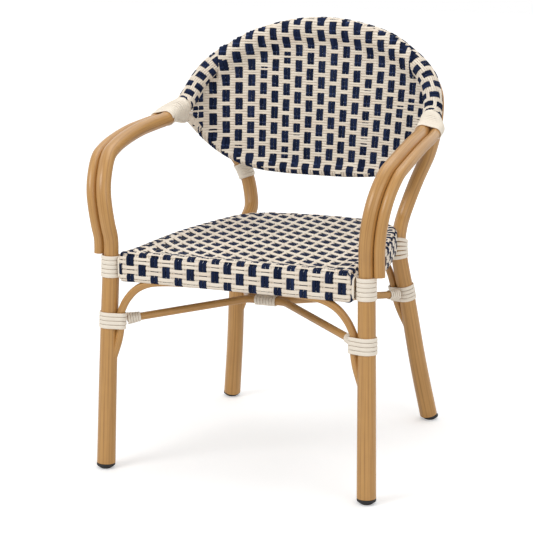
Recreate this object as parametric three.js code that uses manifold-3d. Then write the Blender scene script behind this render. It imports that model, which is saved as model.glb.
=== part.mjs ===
import * as THREE from 'three';
import { mergeVertices } from 'three/addons/utils/BufferGeometryUtils.js';
import Module from 'manifold-3d';

// Rattan bistro armchair, in millimetres, +Z up, facing -Y and standing on z = 0.
// X = 0 is its plane of symmetry, and the origin lies under the middle of its outer size.

// Overall sizes: the frame stands a fixed way outside the seat
const seatHeight = 430;
const seatHalfWidth = 217;
const seatDepth = 481;
const armRise = 229;
const rimRise = 413;
const frontLegOutset = 56;
const rearLegOutset = 16;
const armOutset = 68;
const backOutset = 57;
const legReach = 32;
const frontHalfSpan = seatHalfWidth + frontLegOutset;
const rearHalfSpan = seatHalfWidth + rearLegOutset;
const armHalfSpan = seatHalfWidth + armOutset;
const backHalfSpan = seatHalfWidth + backOutset;
const halfDepth = seatDepth / 2 + legReach;

// Tubes and rods
const footDiameter = 37;
const legDiameter = 33;
const armDiameter = 29;
const outerArmDiameter = 21;
const hoopDiameter = 30;
const rodDiameter = 15;
const lowerRailDiameter = 14;
const swageOverlap = 6;
const clearance = 0.3;
const hoopClearance = 0.4;
const rodClearance = 1.2;

// Woven seat and the frame inside it
const railWidth = 20;
const railHeight = 38;
const frontRailHeight = 24;
const weaveThickness = 5;
const seatRearRise = 8;
const seatEdgeRadius = 7;
const seatSheetThickness = 11;

// Woven back
const rimDiameter = 40;
const panelThickness = 9;

// Cane bindings
const caneThickness = 2.2;
const caneGap = 0.7;
const seatBindingHeight = 43;
const seatBindingTurns = 4.5;
const rearSeatBindingHeight = 38;
const rearSeatBindingDrop = 44;
const lowerBindingHeight = 32;
const lowerBindingTurns = 3.5;
const lowerBindingDrop = 128;
const rearLowerBindingDrop = 137;
const taperLength = 72;
const taperTurns = 10.5;
const taperGap = 1.9;
const bendGap = 2.7;
const braceBindingLength = 26;
const braceBindingTurns = 3.5;
const braceBindingFlare = 2.5;
const centreBindingLength = 44;
const centreBindingTurns = 5.5;
const cornerBindingTurns = 1.5;
const railBindingHeight = 34;
const railBindingTurns = 3.5;
const railBindingRise = 93;
const rearSeatBindingLevel = seatHeight - rearSeatBindingDrop;
const lowerBindingLevel = seatHeight - lowerBindingDrop;
const rearLowerBindingLevel = seatHeight - rearLowerBindingDrop;
const railBindingLevel = seatHeight + railBindingRise;

// Rods under the seat
const frontArchDrop = 43;
const rearArchDrop = 49;
const archTailLength = 62;
const braceDrop = 103;
const braceEndDrop = 5;
const braceBend = 18;
const braceEndGap = 4;
const frontArchTop = seatHeight - frontArchDrop;
const rearArchTop = seatHeight - rearArchDrop;
const braceLevel = seatHeight - braceDrop;

// Foot glides
const glideHeight = 11;
const glideFaceDiameter = 21;
const glideLip = 3;
const glidePegDiameter = 22;
const glidePegLength = 16;

// How finely round shapes are cut
const tubeSides = 12;
const slimSides = 8;
const bindingSides = 10;
const pairSides = 12;
const frontLegSteps = 7;
const rearLegSteps = 16;
const rollSteps = 26;
const mergeDistance = 1e-3;

// Finishes
const bamboo = { color: 0xc4985a, roughness: 0.45, metalness: 0 };
const cream = { color: 0xe8dcc8, roughness: 0.7, metalness: 0 };
const woven = { color: 0x8b8c9a, roughness: 0.65, metalness: 0 };
const steel = { color: 0xb08a55, roughness: 0.5, metalness: 0 };
const black = { color: 0x161616, roughness: 0.6, metalness: 0 };

const chair = new THREE.Group();
const wasm = await Module();
wasm.setup();

const acrossAxis = new THREE.Vector3(1, 0, 0);
const depthAxis = new THREE.Vector3(0, 1, 0);
const upAxis = new THREE.Vector3(0, 0, 1);

// Solids for cutting and joining
function bareOf(geometry) {
  const bare = geometry.clone();
  bare.deleteAttribute('normal');
  bare.deleteAttribute('uv');
  return mergeVertices(bare, mergeDistance);
}

function solidOf(geometry) {
  const merged = bareOf(geometry);
  return new wasm.Manifold(new wasm.Mesh({
    numProp: 3,
    vertProperties: new Float32Array(merged.attributes.position.array),
    triVerts: new Uint32Array(merged.index.array),
  }));
}

function geometryOf(solid) {
  const mesh = solid.getMesh();
  const geometry = new THREE.BufferGeometry();
  geometry.setAttribute('position', new THREE.BufferAttribute(new Float32Array(mesh.vertProperties), 3));
  geometry.setIndex(new THREE.BufferAttribute(new Uint32Array(mesh.triVerts), 1));
  geometry.computeVertexNormals();
  return geometry;
}

function cut(geometry, ...tools) {
  return geometryOf(tools.reduce((body, tool) => body.subtract(solidOf(tool)), solidOf(geometry)));
}

function join(first, ...others) {
  return geometryOf(others.reduce((body, other) => body.add(solidOf(other)), solidOf(first)));
}

function mirrored(geometry) {
  const copy = bareOf(geometry);
  const position = copy.attributes.position;
  for (let index = 0; index < position.count; index += 1) {
    position.setX(index, -position.getX(index));
  }
  const corners = copy.index;
  for (let index = 0; index < corners.count; index += 3) {
    const first = corners.getX(index);
    corners.setX(index, corners.getX(index + 1));
    corners.setX(index + 1, first);
  }
  copy.computeVertexNormals();
  return copy;
}

function addPiece(name, geometry, finish, parent = chair) {
  const mesh = new THREE.Mesh(geometry, new THREE.MeshStandardMaterial(finish));
  mesh.name = name;
  parent.add(mesh);
}

function addPair(name, rightGeometry, finish, parent = chair) {
  addPiece(`${name}_right`, rightGeometry, finish, parent);
  addPiece(`${name}_left`, mirrored(rightGeometry), finish, parent);
}

// Closed body through rings of points, with flat ends
function loftOf(points, ringSize, segments) {
  const corners = [];
  for (let segment = 0; segment < segments; segment += 1) {
    for (let side = 0; side < ringSize; side += 1) {
      const here = segment * ringSize + side;
      const beside = segment * ringSize + (side + 1) % ringSize;
      corners.push(here, here + ringSize, beside);
      corners.push(beside, here + ringSize, beside + ringSize);
    }
  }
  const last = segments * ringSize;
  for (let side = 1; side < ringSize - 1; side += 1) {
    corners.push(0, side, side + 1);
    corners.push(last, last + side + 1, last + side);
  }
  const geometry = new THREE.BufferGeometry();
  geometry.setAttribute('position', new THREE.Float32BufferAttribute(points, 3));
  geometry.setIndex(corners);
  geometry.computeVertexNormals();
  return geometry;
}

// Routes
class Stretch extends THREE.Curve {
  constructor(route, from, to) {
    super();
    this.route = route;
    this.from = from;
    this.to = to;
  }

  getPoint(share, target = new THREE.Vector3()) {
    return target.copy(this.route.getPointAt(this.from + (this.to - this.from) * share));
  }
}

// A route that keeps a fixed distance to one side of a stretch
class BesideStretch extends THREE.Curve {
  constructor(stretch, lean, distance) {
    super();
    this.stretch = stretch;
    this.lean = lean;
    this.distance = distance;
  }

  getPoint(share, target = new THREE.Vector3()) {
    const outward = squareTo(this.lean, this.stretch.getTangent(share));
    return target.copy(this.stretch.getPoint(share)).addScaledVector(outward, this.distance);
  }
}

function smooth(points) {
  return new THREE.CatmullRomCurve3(points, false, 'centripetal');
}

// A route over both halves of the chair, from the points of its right half
function bothHalves(points) {
  const others = points.slice(0, -1).reverse();
  return smooth([...points, ...others.map((point) => new THREE.Vector3(-point.x, point.y, point.z))]);
}

// Straight runs whose corners are rounded over one bend length
function withBends(points, bendLength) {
  const route = [points[0]];
  for (let index = 1; index < points.length - 1; index += 1) {
    const corner = points[index];
    const back = points[index - 1].clone().sub(corner).setLength(bendLength);
    const onward = points[index + 1].clone().sub(corner).setLength(bendLength);
    const before = corner.clone().add(back);
    const after = corner.clone().add(onward);
    const middle = before.clone().lerp(after, 0.5).lerp(corner, 0.5);
    route.push(before.clone().add(back), before, middle, after, after.clone().add(onward));
  }
  route.push(points[points.length - 1]);
  return smooth(route);
}

// The part of a direction that stands square to a tangent
function squareTo(direction, tangent) {
  return direction.clone().addScaledVector(tangent, -direction.dot(tangent)).normalize();
}

// Share of a route at which a coordinate reaches a value, on a stretch where it only grows or falls
function shareWhere(route, coordinate, value, from, to) {
  let low = from;
  let high = to;
  const grows = route.getPointAt(to)[coordinate] > route.getPointAt(from)[coordinate];
  for (let pass = 0; pass < 36; pass += 1) {
    const middle = (low + high) / 2;
    if ((route.getPointAt(middle)[coordinate] < value) === grows) {
      low = middle;
    } else {
      high = middle;
    }
  }
  return (low + high) / 2;
}

// Sections
function circle(diameter) {
  const shape = new THREE.Shape();
  shape.absarc(0, 0, diameter / 2, 0, Math.PI * 2);
  return shape;
}

function roundedBox(width, height, radius) {
  const shape = new THREE.Shape();
  const x = width / 2 - radius;
  const y = height / 2 - radius;
  shape.absarc(x, y, radius, 0, Math.PI / 2);
  shape.absarc(-x, y, radius, Math.PI / 2, Math.PI);
  shape.absarc(-x, -y, radius, Math.PI, Math.PI * 1.5);
  shape.absarc(x, -y, radius, Math.PI * 1.5, Math.PI * 2);
  return shape;
}

function tube(route, diameter, steps, sides = tubeSides) {
  return new THREE.ExtrudeGeometry(circle(diameter), {
    steps,
    extrudePath: route,
    curveSegments: sides / 2,
  });
}

// Cane bindings: each one is a flat strip wound as one unbroken spiral. The round pieces that it
// holds are discs of its section, and it follows the straight lines that touch them from outside.
function reachesOf(discs, sides) {
  return Array.from({ length: sides }, (unused, side) => {
    const angle = Math.PI * 2 * side / sides;
    return Math.max(...discs.map((disc) => disc.x * Math.cos(angle) + disc.y * Math.sin(angle) + disc.radius));
  });
}

function cornersOf(reaches) {
  const turn = Math.PI * 2 / reaches.length;
  return reaches.map((reach, side) => {
    const next = reaches[(side + 1) % reaches.length];
    const along = (next - reach * Math.cos(turn)) / Math.sin(turn);
    const angle = turn * side;
    const across = Math.cos(angle + turn / 2);
    const over = Math.sin(angle + turn / 2);
    const x = reach * Math.cos(angle) - along * Math.sin(angle);
    const y = reach * Math.sin(angle) + along * Math.cos(angle);
    return { x, y, across, over };
  });
}

function outlineOf(discs, sides) {
  return cornersOf(reachesOf(discs, sides));
}

function roundOutline(radius, sides = bindingSides) {
  return outlineOf([disc(0, 0, radius)], sides);
}

// A disc of the section with the clearance that the binding keeps
function disc(x, y, radius) {
  return { x, y, radius: radius + clearance };
}

function boxOutline(width, height, radius) {
  const x = width / 2 - radius;
  const y = height / 2 - radius;
  return outlineOf([disc(x, y, radius), disc(-x, y, radius), disc(-x, -y, radius), disc(x, -y, radius)], slimSides);
}

// Farthest that a binding reaches from the middle of a round tube
function boundRadius(radius) {
  return (radius + clearance) / Math.cos(Math.PI / bindingSides) + caneThickness;
}

let leastTurnGap = Infinity;

function noteTurnGap(points, steps) {
  const ring = 4;
  const count = points.length / ring;
  for (let first = 0; first < count; first += 1) {
    for (let second = first + Math.ceil(steps / 2); second < count; second += 1) {
      for (let pair = 0; pair < ring * ring; pair += 1) {
        const here = points[first * ring + pair % ring];
        const there = points[second * ring + Math.floor(pair / ring)];
        leastTurnGap = Math.min(leastTurnGap, here.distanceTo(there));
      }
    }
  }
}

function windOn(route, turns, outlineAt, reference, turnGap = caneGap) {
  const length = route.getLength();
  const pitch = (length + turnGap) / (turns + 1);
  const strip = pitch - turnGap;
  const steps = outlineAt(0).length;
  const count = Math.round(turns * steps);
  const points = [];
  for (let index = 0; index <= count; index += 1) {
    const share = (strip / 2 + pitch * index / steps) / length;
    const centre = route.getPointAt(share);
    const tangent = route.getTangentAt(share);
    const across = squareTo(reference, tangent);
    const over = tangent.clone().cross(across);
    const spot = outlineAt(share)[index % steps];
    const outward = across.clone().multiplyScalar(spot.across).addScaledVector(over, spot.over).normalize();
    centre.addScaledVector(across, spot.x).addScaledVector(over, spot.y);
    for (const [lift, edge] of [[0, -1], [1, -1], [1, 1], [0, 1]]) {
      const corner = centre.clone().addScaledVector(outward, lift * caneThickness);
      points.push(corner.addScaledVector(tangent, edge * strip / 2));
    }
  }
  noteTurnGap(points, steps);
  return loftOf(points.flatMap((point) => point.toArray()), 4, count);
}

// Routes of the frame, right half first. A row gives side, depth and height as shares of
// the span, of half the depth and of the rise that the row's stretch covers.
const frontLegShares = [
  [1, -1, 0],
  [0.985, -0.975, 0.4],
  [0.97, -0.95, 0.75],
  [0.961, -0.937, 0.93],
];
const armShares = [
  [0.916, -0.938, 0.14],
  [0.923, -0.961, 0.253],
  [0.937, -0.973, 0.406],
  [0.954, -0.958, 0.55],
  [0.972, -0.899, 0.69],
  [0.993, -0.793, 0.817],
  [1.003, -0.686, 0.865],
  [1.007, -0.54, 0.908],
  [1, -0.268, 0.961],
  [0.982, 0, 0.987],
  [0.968, 0.11, 1],
];
const rimShares = [
  [1, 0.276, 0.583],
  [0.989, 0.404, 0.604],
  [0.969, 0.503, 0.655],
  [0.934, 0.58, 0.719],
  [0.88, 0.646, 0.777],
  [0.797, 0.697, 0.828],
  [0.703, 0.747, 0.869],
  [0.602, 0.793, 0.908],
  [0.491, 0.822, 0.942],
  [0.245, 0.829, 0.985],
  [0, 0.826, 1],
];
const lowerRailShares = [
  [0.978, 0.452, 0.535],
  [0.955, 0.507, 0.505],
  [0.915, 0.55, 0.46],
  [0.855, 0.583, 0.415],
  [0.78, 0.609, 0.372],
  [0.66, 0.638, 0.325],
  [0.5, 0.669, 0.29],
  [0.28, 0.692, 0.274],
  [0, 0.7, 0.271],
];
const rearLegShares = [
  [1, 1, 0],
  [0.914, 0.895, 0.31],
  [0.841, 0.797, 0.628],
  [0.788, 0.748, 0.814],
  [0.764, 0.746, 0.895],
  [0.751, 0.79, 0.965],
];
const rearRiseShares = [
  [0.632, 0.897, 0.036],
  [0.662, 0.948, 0.121],
  [0.695, 0.966, 0.189],
  [0.733, 0.957, 0.249],
  [0.781, 0.922, 0.31],
  [0.832, 0.866, 0.37],
  [0.88, 0.796, 0.441],
  [0.921, 0.724, 0.516],
];

function placed(shares, span, level, rise) {
  return shares.map((share) => new THREE.Vector3(share[0] * span, share[1] * halfDepth, level + share[2] * rise));
}

// One line from the right foot over the arms and the rim of the back to the left foot
const rimPoints = placed(rimShares, backHalfSpan, seatHeight, rimRise);
const frameRoute = bothHalves([
  ...placed(frontLegShares, frontHalfSpan, 0, seatHeight),
  ...placed(armShares, armHalfSpan, seatHeight, armRise),
  ...rimPoints,
]);
const frameLength = frameRoute.getLength();
const halfRimRoute = smooth(rimPoints);

// The rear hoop runs up both rear legs, bends at the seat and then follows the woven roll behind it
const hoopLeanShare = -0.45;
const hoopLean = depthAxis.clone().addScaledVector(upAxis, hoopLeanShare);
const rollDistance = (rimDiameter + hoopDiameter) / 2 + hoopClearance;
const besideRollShares = [0.26, 0.34, 0.43, 0.52, 0.61, 0.7, 0.8, 0.9, 1];

function besidePoint(route, share, lean, distance) {
  return route.getPointAt(share).addScaledVector(squareTo(lean, route.getTangentAt(share)), distance);
}

const hoopRoute = bothHalves([
  ...placed(rearLegShares, rearHalfSpan, 0, seatHeight),
  ...placed(rearRiseShares, backHalfSpan, seatHeight, rimRise),
  ...besideRollShares.map((share) => besidePoint(halfRimRoute, share, hoopLean, rollDistance)),
]);
const hoopLength = hoopRoute.getLength();

// Each search for a height or a depth stays on one side of the chair
const sideShare = 0.48;
const armSideShare = 0.25;
const frontShareAt = (height) => shareWhere(frameRoute, 'z', height, 0, sideShare);
const rearShareAt = (height) => shareWhere(hoopRoute, 'z', height, 0, sideShare);
const frontAxisAt = (height) => frameRoute.getPointAt(frontShareAt(height));
const rearAxisAt = (height) => hoopRoute.getPointAt(rearShareAt(height));

// Feet: the legs widen evenly from the floor to the seat and end flat on their glides
function legDiameterAt(height) {
  const drop = Math.max(0, seatHeight - height) / seatHeight;
  return legDiameter + drop * (footDiameter - legDiameter);
}

function taperedLeg(route, to, axisAt, steps, extra = 0) {
  const geometry = tube(new Stretch(route, 0, to), legDiameter, steps);
  const position = geometry.attributes.position;
  const vertex = new THREE.Vector3();
  for (let index = 0; index < position.count; index += 1) {
    vertex.fromBufferAttribute(position, index);
    const centre = axisAt(Math.max(vertex.z, 0));
    const growth = (legDiameterAt(vertex.z) + extra) / legDiameter;
    const x = centre.x + (vertex.x - centre.x) * growth;
    const y = centre.y + (vertex.y - centre.y) * growth;
    position.setXY(index, x, y);
  }
  return geometry;
}

// Cuts a leg flat above its glide and bores it for the glide's peg
function legEndTools(centre) {
  const block = new THREE.BoxGeometry(footDiameter * 2, footDiameter * 2, glideHeight * 4);
  block.translate(centre.x, centre.y, -glideHeight);
  const socketRadius = glidePegDiameter / 2 + clearance;
  const socket = new THREE.CylinderGeometry(socketRadius, socketRadius, (glidePegLength + clearance) * 2, tubeSides);
  socket.rotateX(Math.PI / 2);
  socket.translate(centre.x, centre.y, glideHeight);
  return [block, socket];
}

const glideBellyShare = 0.38;

function footGlide(centre) {
  const face = glideFaceDiameter / 2;
  const rim = footDiameter / 2;
  const peg = glidePegDiameter / 2;
  const top = glideHeight - clearance;
  const profile = [
    new THREE.Vector2(0, 0),
    new THREE.Vector2(face, 0),
    new THREE.Vector2((face + rim) / 2, (top - glideLip) * glideBellyShare),
    new THREE.Vector2(rim, top - glideLip),
    new THREE.Vector2(rim, top),
    new THREE.Vector2(peg, top),
    new THREE.Vector2(peg, top + glidePegLength),
    new THREE.Vector2(0, top + glidePegLength),
  ];
  const geometry = new THREE.LatheGeometry(profile, tubeSides);
  geometry.rotateX(Math.PI / 2);
  geometry.translate(centre.x, centre.y, 0);
  return geometry;
}

const frontFoot = frontAxisAt(0);
const rearFoot = rearAxisAt(0);
addPair('foot_glide_front', footGlide(frontFoot), black);
addPair('foot_glide_rear', footGlide(rearFoot), black);

// Along the arm: where its tapered binding runs, its tube ends and the woven roll starts
const taperDepthShare = 0.121;
const taperFrom = shareWhere(frameRoute, 'y', taperDepthShare * halfDepth, armSideShare, sideShare);
const taperTo = taperFrom + taperLength / frameLength;
const armTo = taperFrom + taperLength / 2 / frameLength;
const jointGap = clearance / frameLength;

// The lower rail of the back ends under the rim tube, inside the tapered bindings
const railEndDistance = (rimDiameter + lowerRailDiameter) / 2 + clearance * 2;
const railEndLength = 5;
const railEndTuck = 4;
const railEndShare = taperTo - railEndLength / frameLength;
const downward = upAxis.clone().negate();
const lowerRailPoints = [
  besidePoint(frameRoute, railEndShare, downward, railEndDistance - railEndTuck),
  ...placed(lowerRailShares, backHalfSpan, seatHeight, rimRise),
];
const lowerRailRoute = bothHalves(lowerRailPoints);
const halfRailRoute = smooth(lowerRailPoints);

// Front legs and arms: one tube each, swaged down inside the binding at the seat
const frontSwage = frontShareAt(seatHeight - seatBindingHeight / 2);
const frontLeg = cut(taperedLeg(frameRoute, frontSwage, frontAxisAt, frontLegSteps), ...legEndTools(frontFoot));
const arm = tube(new Stretch(frameRoute, frontSwage - swageOverlap / frameLength, armTo), armDiameter, 24);
addPair('front_leg_and_arm', join(frontLeg, arm), bamboo);

// Outer arm tubes, from just above the seat binding into the tapered binding
const outerArmTuckShare = 0.3;
const outerArmLeanShare = -0.08;
const outerArmLean = acrossAxis.clone().addScaledVector(upAxis, outerArmLeanShare);
const outerArmDistance = (armDiameter + outerArmDiameter) / 2 + clearance;
const outerArmFrom = frontShareAt(seatHeight + clearance + caneGap);
const outerArmStretch = new Stretch(frameRoute, outerArmFrom, taperFrom + taperLength * outerArmTuckShare / frameLength);
const outerArmRoute = new BesideStretch(outerArmStretch, outerArmLean, outerArmDistance);
addPair('outer_arm', tube(outerArmRoute, outerArmDiameter, 24, 10), bamboo);

// Rim tube, which carries the arms' line round the back
const rimTubeRoute = new Stretch(frameRoute, armTo + jointGap, 1 - armTo - jointGap);
const rimTubeSteps = 26;
addPiece('rim_tube', tube(rimTubeRoute, armDiameter, rimTubeSteps, slimSides), steel);

// Rear hoop with both rear legs
const rearSwage = rearShareAt(rearSeatBindingLevel + rearSeatBindingHeight / 2 - swageOverlap);
const rearLeg = cut(taperedLeg(hoopRoute, rearSwage, rearAxisAt, rearLegSteps), ...legEndTools(rearFoot));
const hoopFrom = rearSwage - swageOverlap / hoopLength;
const hoop = tube(new Stretch(hoopRoute, hoopFrom, 1 - hoopFrom), hoopDiameter, 46);
addPiece('rear_hoop', join(hoop, rearLeg, mirrored(rearLeg)), bamboo);

// Lower rail of the back
const lowerRailSteps = 24;
addPiece('back_lower_rail', tube(lowerRailRoute, lowerRailDiameter, lowerRailSteps, slimSides), steel);

// Woven roll round the rim tube
const rollFrom = taperTo + jointGap * 3;
const rollRoute = new Stretch(frameRoute, rollFrom, 1 - rollFrom);
const rimTubeEnvelope = tube(rimTubeRoute, armDiameter + clearance * 2, rimTubeSteps, slimSides);
addPiece('rim_weave', cut(tube(rollRoute, rimDiameter, rollSteps), rimTubeEnvelope), woven);

// Woven panel of the back: upright lines from the lower rail to the rim, bent to a barrel
const panelReachShare = 0.962;
const panelTuckShare = 0.25;
const panelColumns = 20;

function panelSheet() {
  const reach = panelReachShare * backHalfSpan;
  const points = [];
  for (let column = 0; column <= panelColumns; column += 1) {
    const x = reach * (2 * column / panelColumns - 1);
    const away = Math.abs(x);
    const railShare = shareWhere(halfRailRoute, 'x', away, 0, 1);
    const low = halfRailRoute.getPointAt(railShare);
    const high = halfRimRoute.getPointAt(shareWhere(halfRimRoute, 'x', away, 0, 1));
    const tangent = halfRailRoute.getTangentAt(railShare);
    const outward = new THREE.Vector2(tangent.y, -tangent.x).setLength(panelThickness / 2);
    const outwardX = x < 0 ? -outward.x : outward.x;
    const bottom = low.clone().lerp(high, lowerRailDiameter * panelTuckShare / (high.z - low.z));
    const top = high.clone().lerp(low, rimDiameter * panelTuckShare / (high.z - low.z));
    for (const [end, side] of [[bottom, -1], [top, -1], [top, 1], [bottom, 1]]) {
      points.push(x + side * outwardX, end.y + side * outward.y, end.z);
    }
  }
  return loftOf(points, 4, panelColumns);
}

const rollEnvelope = tube(rollRoute, rimDiameter + clearance * 2, rollSteps);
const railEnvelope = tube(lowerRailRoute, lowerRailDiameter + clearance * 2, lowerRailSteps, slimSides);
addPiece('back_weave', cut(panelSheet(), rollEnvelope, railEnvelope), woven);

// Seat, tilted up a little towards the back about the front rail
const frontRailLevel = seatHeight - seatBindingHeight / 2;
const frontJoint = frontAxisAt(frontRailLevel);
const frontJointDiameter = legDiameterAt(frontRailLevel - seatBindingHeight / 2);
const seat = new THREE.Group();
seat.position.set(0, frontJoint.y, frontJoint.z);
seat.rotation.x = Math.atan2(seatRearRise, seatDepth);
chair.add(seat);

// Plan of the side and rear rail, from the front rail round the back
const seatPlanShares = [
  [1, 0],
  [0.995, 0.3],
  [0.965, 0.5],
  [0.905, 0.66],
  [0.842, 0.795],
  [0.755, 0.895],
  [0.59, 0.964],
  [0.3, 0.992],
  [0, 1],
];
const planRoute = bothHalves(seatPlanShares.map((share) => new THREE.Vector3(share[0] * seatHalfWidth,
  share[1] * seatDepth, 0)));

const planCount = 24;

function planShape(outset) {
  const points = [];
  for (let index = 0; index <= planCount; index += 1) {
    const tangent = planRoute.getTangentAt(index / planCount);
    const point = planRoute.getPointAt(index / planCount);
    points.push(new THREE.Vector2(point.x + tangent.y * outset, point.y - tangent.x * outset));
  }
  points[0].y = -outset;
  points[planCount].y = -outset;
  return new THREE.Shape(points);
}

const planLength = planRoute.getLength();

// Turns a section drawn across X and Y and pulled along Z into one pulled along X
const alongAcross = new THREE.Matrix4().makeBasis(depthAxis, upAxis, acrossAxis);

function straightRail(width, height, length) {
  const rail = new THREE.ExtrudeGeometry(roundedBox(width, height, railWidth / 4), {
    depth: length,
    bevelEnabled: false,
    curveSegments: 1,
  });
  rail.translate(0, 0, -length / 2);
  return rail.applyMatrix4(alongAcross);
}

// Section of the bent rail: its first direction stands upright on the plan
function bentRail(width, height, endGap) {
  const from = (railWidth / 2 + endGap) / planLength;
  return new THREE.ExtrudeGeometry(roundedBox(height, width, railWidth / 4), {
    steps: planCount,
    extrudePath: new Stretch(planRoute, from, 1 - from),
    curveSegments: 1,
  });
}

const frontRailReach = frontJoint.x - boundRadius(frontJointDiameter / 2) - clearance;
const frontRail = straightRail(railWidth, frontRailHeight, frontRailReach * 2);
frontRail.translate(0, 0, (railHeight - frontRailHeight) / 2);
addPiece('seat_front_rail', frontRail, steel, seat);
addPiece('seat_bent_rail', bentRail(railWidth, railHeight, clearance * 2), steel, seat);

// Seat weave: a sheet with skirts that go round the rails, open underneath
const skirtWidth = railWidth + weaveThickness * 2;
const skirtHeight = railHeight + weaveThickness * 2;
const seatBody = new THREE.ExtrudeGeometry(planShape(skirtWidth / 2 - seatEdgeRadius), {
  depth: skirtHeight - seatEdgeRadius * 2,
  bevelThickness: seatEdgeRadius,
  bevelSize: seatEdgeRadius,
  bevelSegments: 2,
});
seatBody.translate(0, 0, seatEdgeRadius - skirtHeight / 2);
const seatHollow = new THREE.ExtrudeGeometry(planShape(-skirtWidth / 2), {
  depth: skirtHeight,
  bevelEnabled: false,
});
seatHollow.translate(0, 0, -skirtHeight / 2 - seatSheetThickness);
const channelWidth = railWidth + clearance * 2;
const channelHeight = railHeight + clearance * 2;

// The front arch rod lies under the front rail, in a slot of the weave
const slotReachShare = 0.985;
const archSlot = straightRail(channelWidth, skirtHeight, seatHalfWidth * slotReachShare * 2);
archSlot.translate(0, 0, -skirtHeight / 2);

// The rear legs' bindings press into the corners of the weave
function bindingEnvelope(route, from, to, radius) {
  const reach = (radius + clearance) / Math.cos(Math.PI / tubeSides);
  const envelope = tube(new Stretch(route, from, to), reach * 2, 10);
  seat.updateMatrix();
  return envelope.applyMatrix4(seat.matrix.clone().invert());
}

const rearJointDiameter = legDiameter + clearance * 4;
const rearBoundRadius = boundRadius(rearJointDiameter / 2);
const rearEnvelope = bindingEnvelope(hoopRoute, rearShareAt(rearSeatBindingLevel - rearSeatBindingHeight),
  rearShareAt(rearSeatBindingLevel + rearSeatBindingHeight * 2), rearBoundRadius);
const seatWeave = cut(
  seatBody,
  seatHollow,
  straightRail(channelWidth + clearance, channelHeight, frontHalfSpan * 2),
  archSlot,
  bentRail(channelWidth, channelHeight, clearance),
  rearEnvelope,
  mirrored(rearEnvelope),
);
addPiece('seat_weave', seatWeave, woven, seat);

// Bindings at the seat corners, round the ends of the front rail
const cornerFrom = seatHalfWidth + skirtWidth / 2 + clearance;
const cornerRoute = new THREE.LineCurve3(new THREE.Vector3(cornerFrom, 0, 0),
  new THREE.Vector3(frontRailReach, 0, 0));
addPair('seat_corner_binding', windOn(cornerRoute, cornerBindingTurns,
  () => boxOutline(railWidth, railHeight, railWidth / 4), depthAxis), cream, seat);

// Bindings of the legs at the seat
function legBinding(route, shareAt, level, height, turns, radius, turnGap = caneGap) {
  const stretch = new Stretch(route, shareAt(level - height / 2), shareAt(level + height / 2));
  return windOn(stretch, turns, () => roundOutline(radius), acrossAxis, turnGap);
}

addPair('seat_binding_front', legBinding(frameRoute, frontShareAt, frontRailLevel, seatBindingHeight,
  seatBindingTurns, frontJointDiameter / 2), cream);
addPair('seat_binding_rear', legBinding(hoopRoute, rearShareAt, rearSeatBindingLevel, rearSeatBindingHeight,
  seatBindingTurns, rearJointDiameter / 2, bendGap), cream);

// The left side of the hoop has one more binding, just under the woven back
addPiece('back_binding_left', mirrored(legBinding(hoopRoute, rearShareAt, railBindingLevel, railBindingHeight,
  railBindingTurns, hoopDiameter / 2 + rodClearance, bendGap)), cream);

// Tapered bindings, from the pair of arm tubes to the woven roll and the end of the lower rail
const taperBlendShare = 0.38;
const taperStart = reachesOf([
  disc(0, 0, armDiameter / 2),
  disc(outerArmDistance, 0, outerArmDiameter / 2),
], pairSides);
const taperEnd = reachesOf([
  disc(0, 0, rimDiameter / 2 - caneThickness),
  disc(0, railEndDistance, lowerRailDiameter / 2),
], pairSides);

function taperOutline(share) {
  const blend = Math.max(0, share - taperBlendShare) / (1 - taperBlendShare);
  return cornersOf(taperStart.map((reach, side) => reach + (taperEnd[side] - reach) * blend));
}

addPair('arm_taper_binding', windOn(new Stretch(frameRoute, taperFrom, taperTo), taperTurns, taperOutline,
  outerArmLean, taperGap), cream);

// Arch rods: each lies along the inner side of both legs, and its tails die into the legs
const archShares = [
  [0.988, 0.1],
  [0.945, 0.38],
  [0.86, 0.7],
  [0.75, 0.89],
  [0.62, 0.965],
  [0.42, 1],
  [0, 1],
];
const rodRadius = rodDiameter / 2;
const archTailMiddleShare = 0.4;

function besideLeg(height) {
  return legDiameterAt(height) / 2 + rodRadius + clearance;
}

function archPoints(axisAt, level, top, middleDepth) {
  const low = level - lowerBindingHeight / 2;
  const high = level + lowerBindingHeight / 2;
  const beside = (height, inset) => {
    const axis = axisAt(height);
    return new THREE.Vector3(axis.x - besideLeg(height) + inset, axis.y, height);
  };
  const spring = beside(high, 0);
  const arch = archShares.map((share) => new THREE.Vector3(
    spring.x * share[0],
    middleDepth + (spring.y - middleDepth) * share[0],
    high + (top - high) * share[1],
  ));
  return [
    beside(low - archTailLength, rodDiameter),
    beside(low - archTailLength * archTailMiddleShare, rodRadius / 2),
    beside(low, 0),
    spring,
    ...arch,
  ];
}

function archRod(route, legRoute, legTo, axisAt, legSteps) {
  const envelope = taperedLeg(legRoute, legTo, axisAt, legSteps, clearance * 2);
  return cut(tube(route, rodDiameter, 34, slimSides), envelope, mirrored(envelope));
}

const rearRailDepth = frontJoint.y + seatDepth;
const frontArchRoute = bothHalves(archPoints(frontAxisAt, lowerBindingLevel, frontArchTop, frontJoint.y));
const rearArchRoute = bothHalves(archPoints(rearAxisAt, rearLowerBindingLevel, rearArchTop, rearRailDepth));
addPiece('front_arch_rod', archRod(frontArchRoute, frameRoute, frontSwage, frontAxisAt, frontLegSteps), bamboo);
addPiece('rear_arch_rod', archRod(rearArchRoute, hoopRoute, rearSwage, rearAxisAt, rearLegSteps), bamboo);

// Lower bindings hold each leg and its arch rod
function lowerOutline(level) {
  const radius = legDiameterAt(level - lowerBindingHeight / 2) / 2 + clearance;
  const beside = -(radius + rodRadius + clearance);
  return outlineOf([disc(0, 0, radius), disc(beside, 0, rodRadius + rodClearance)], pairSides);
}

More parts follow.
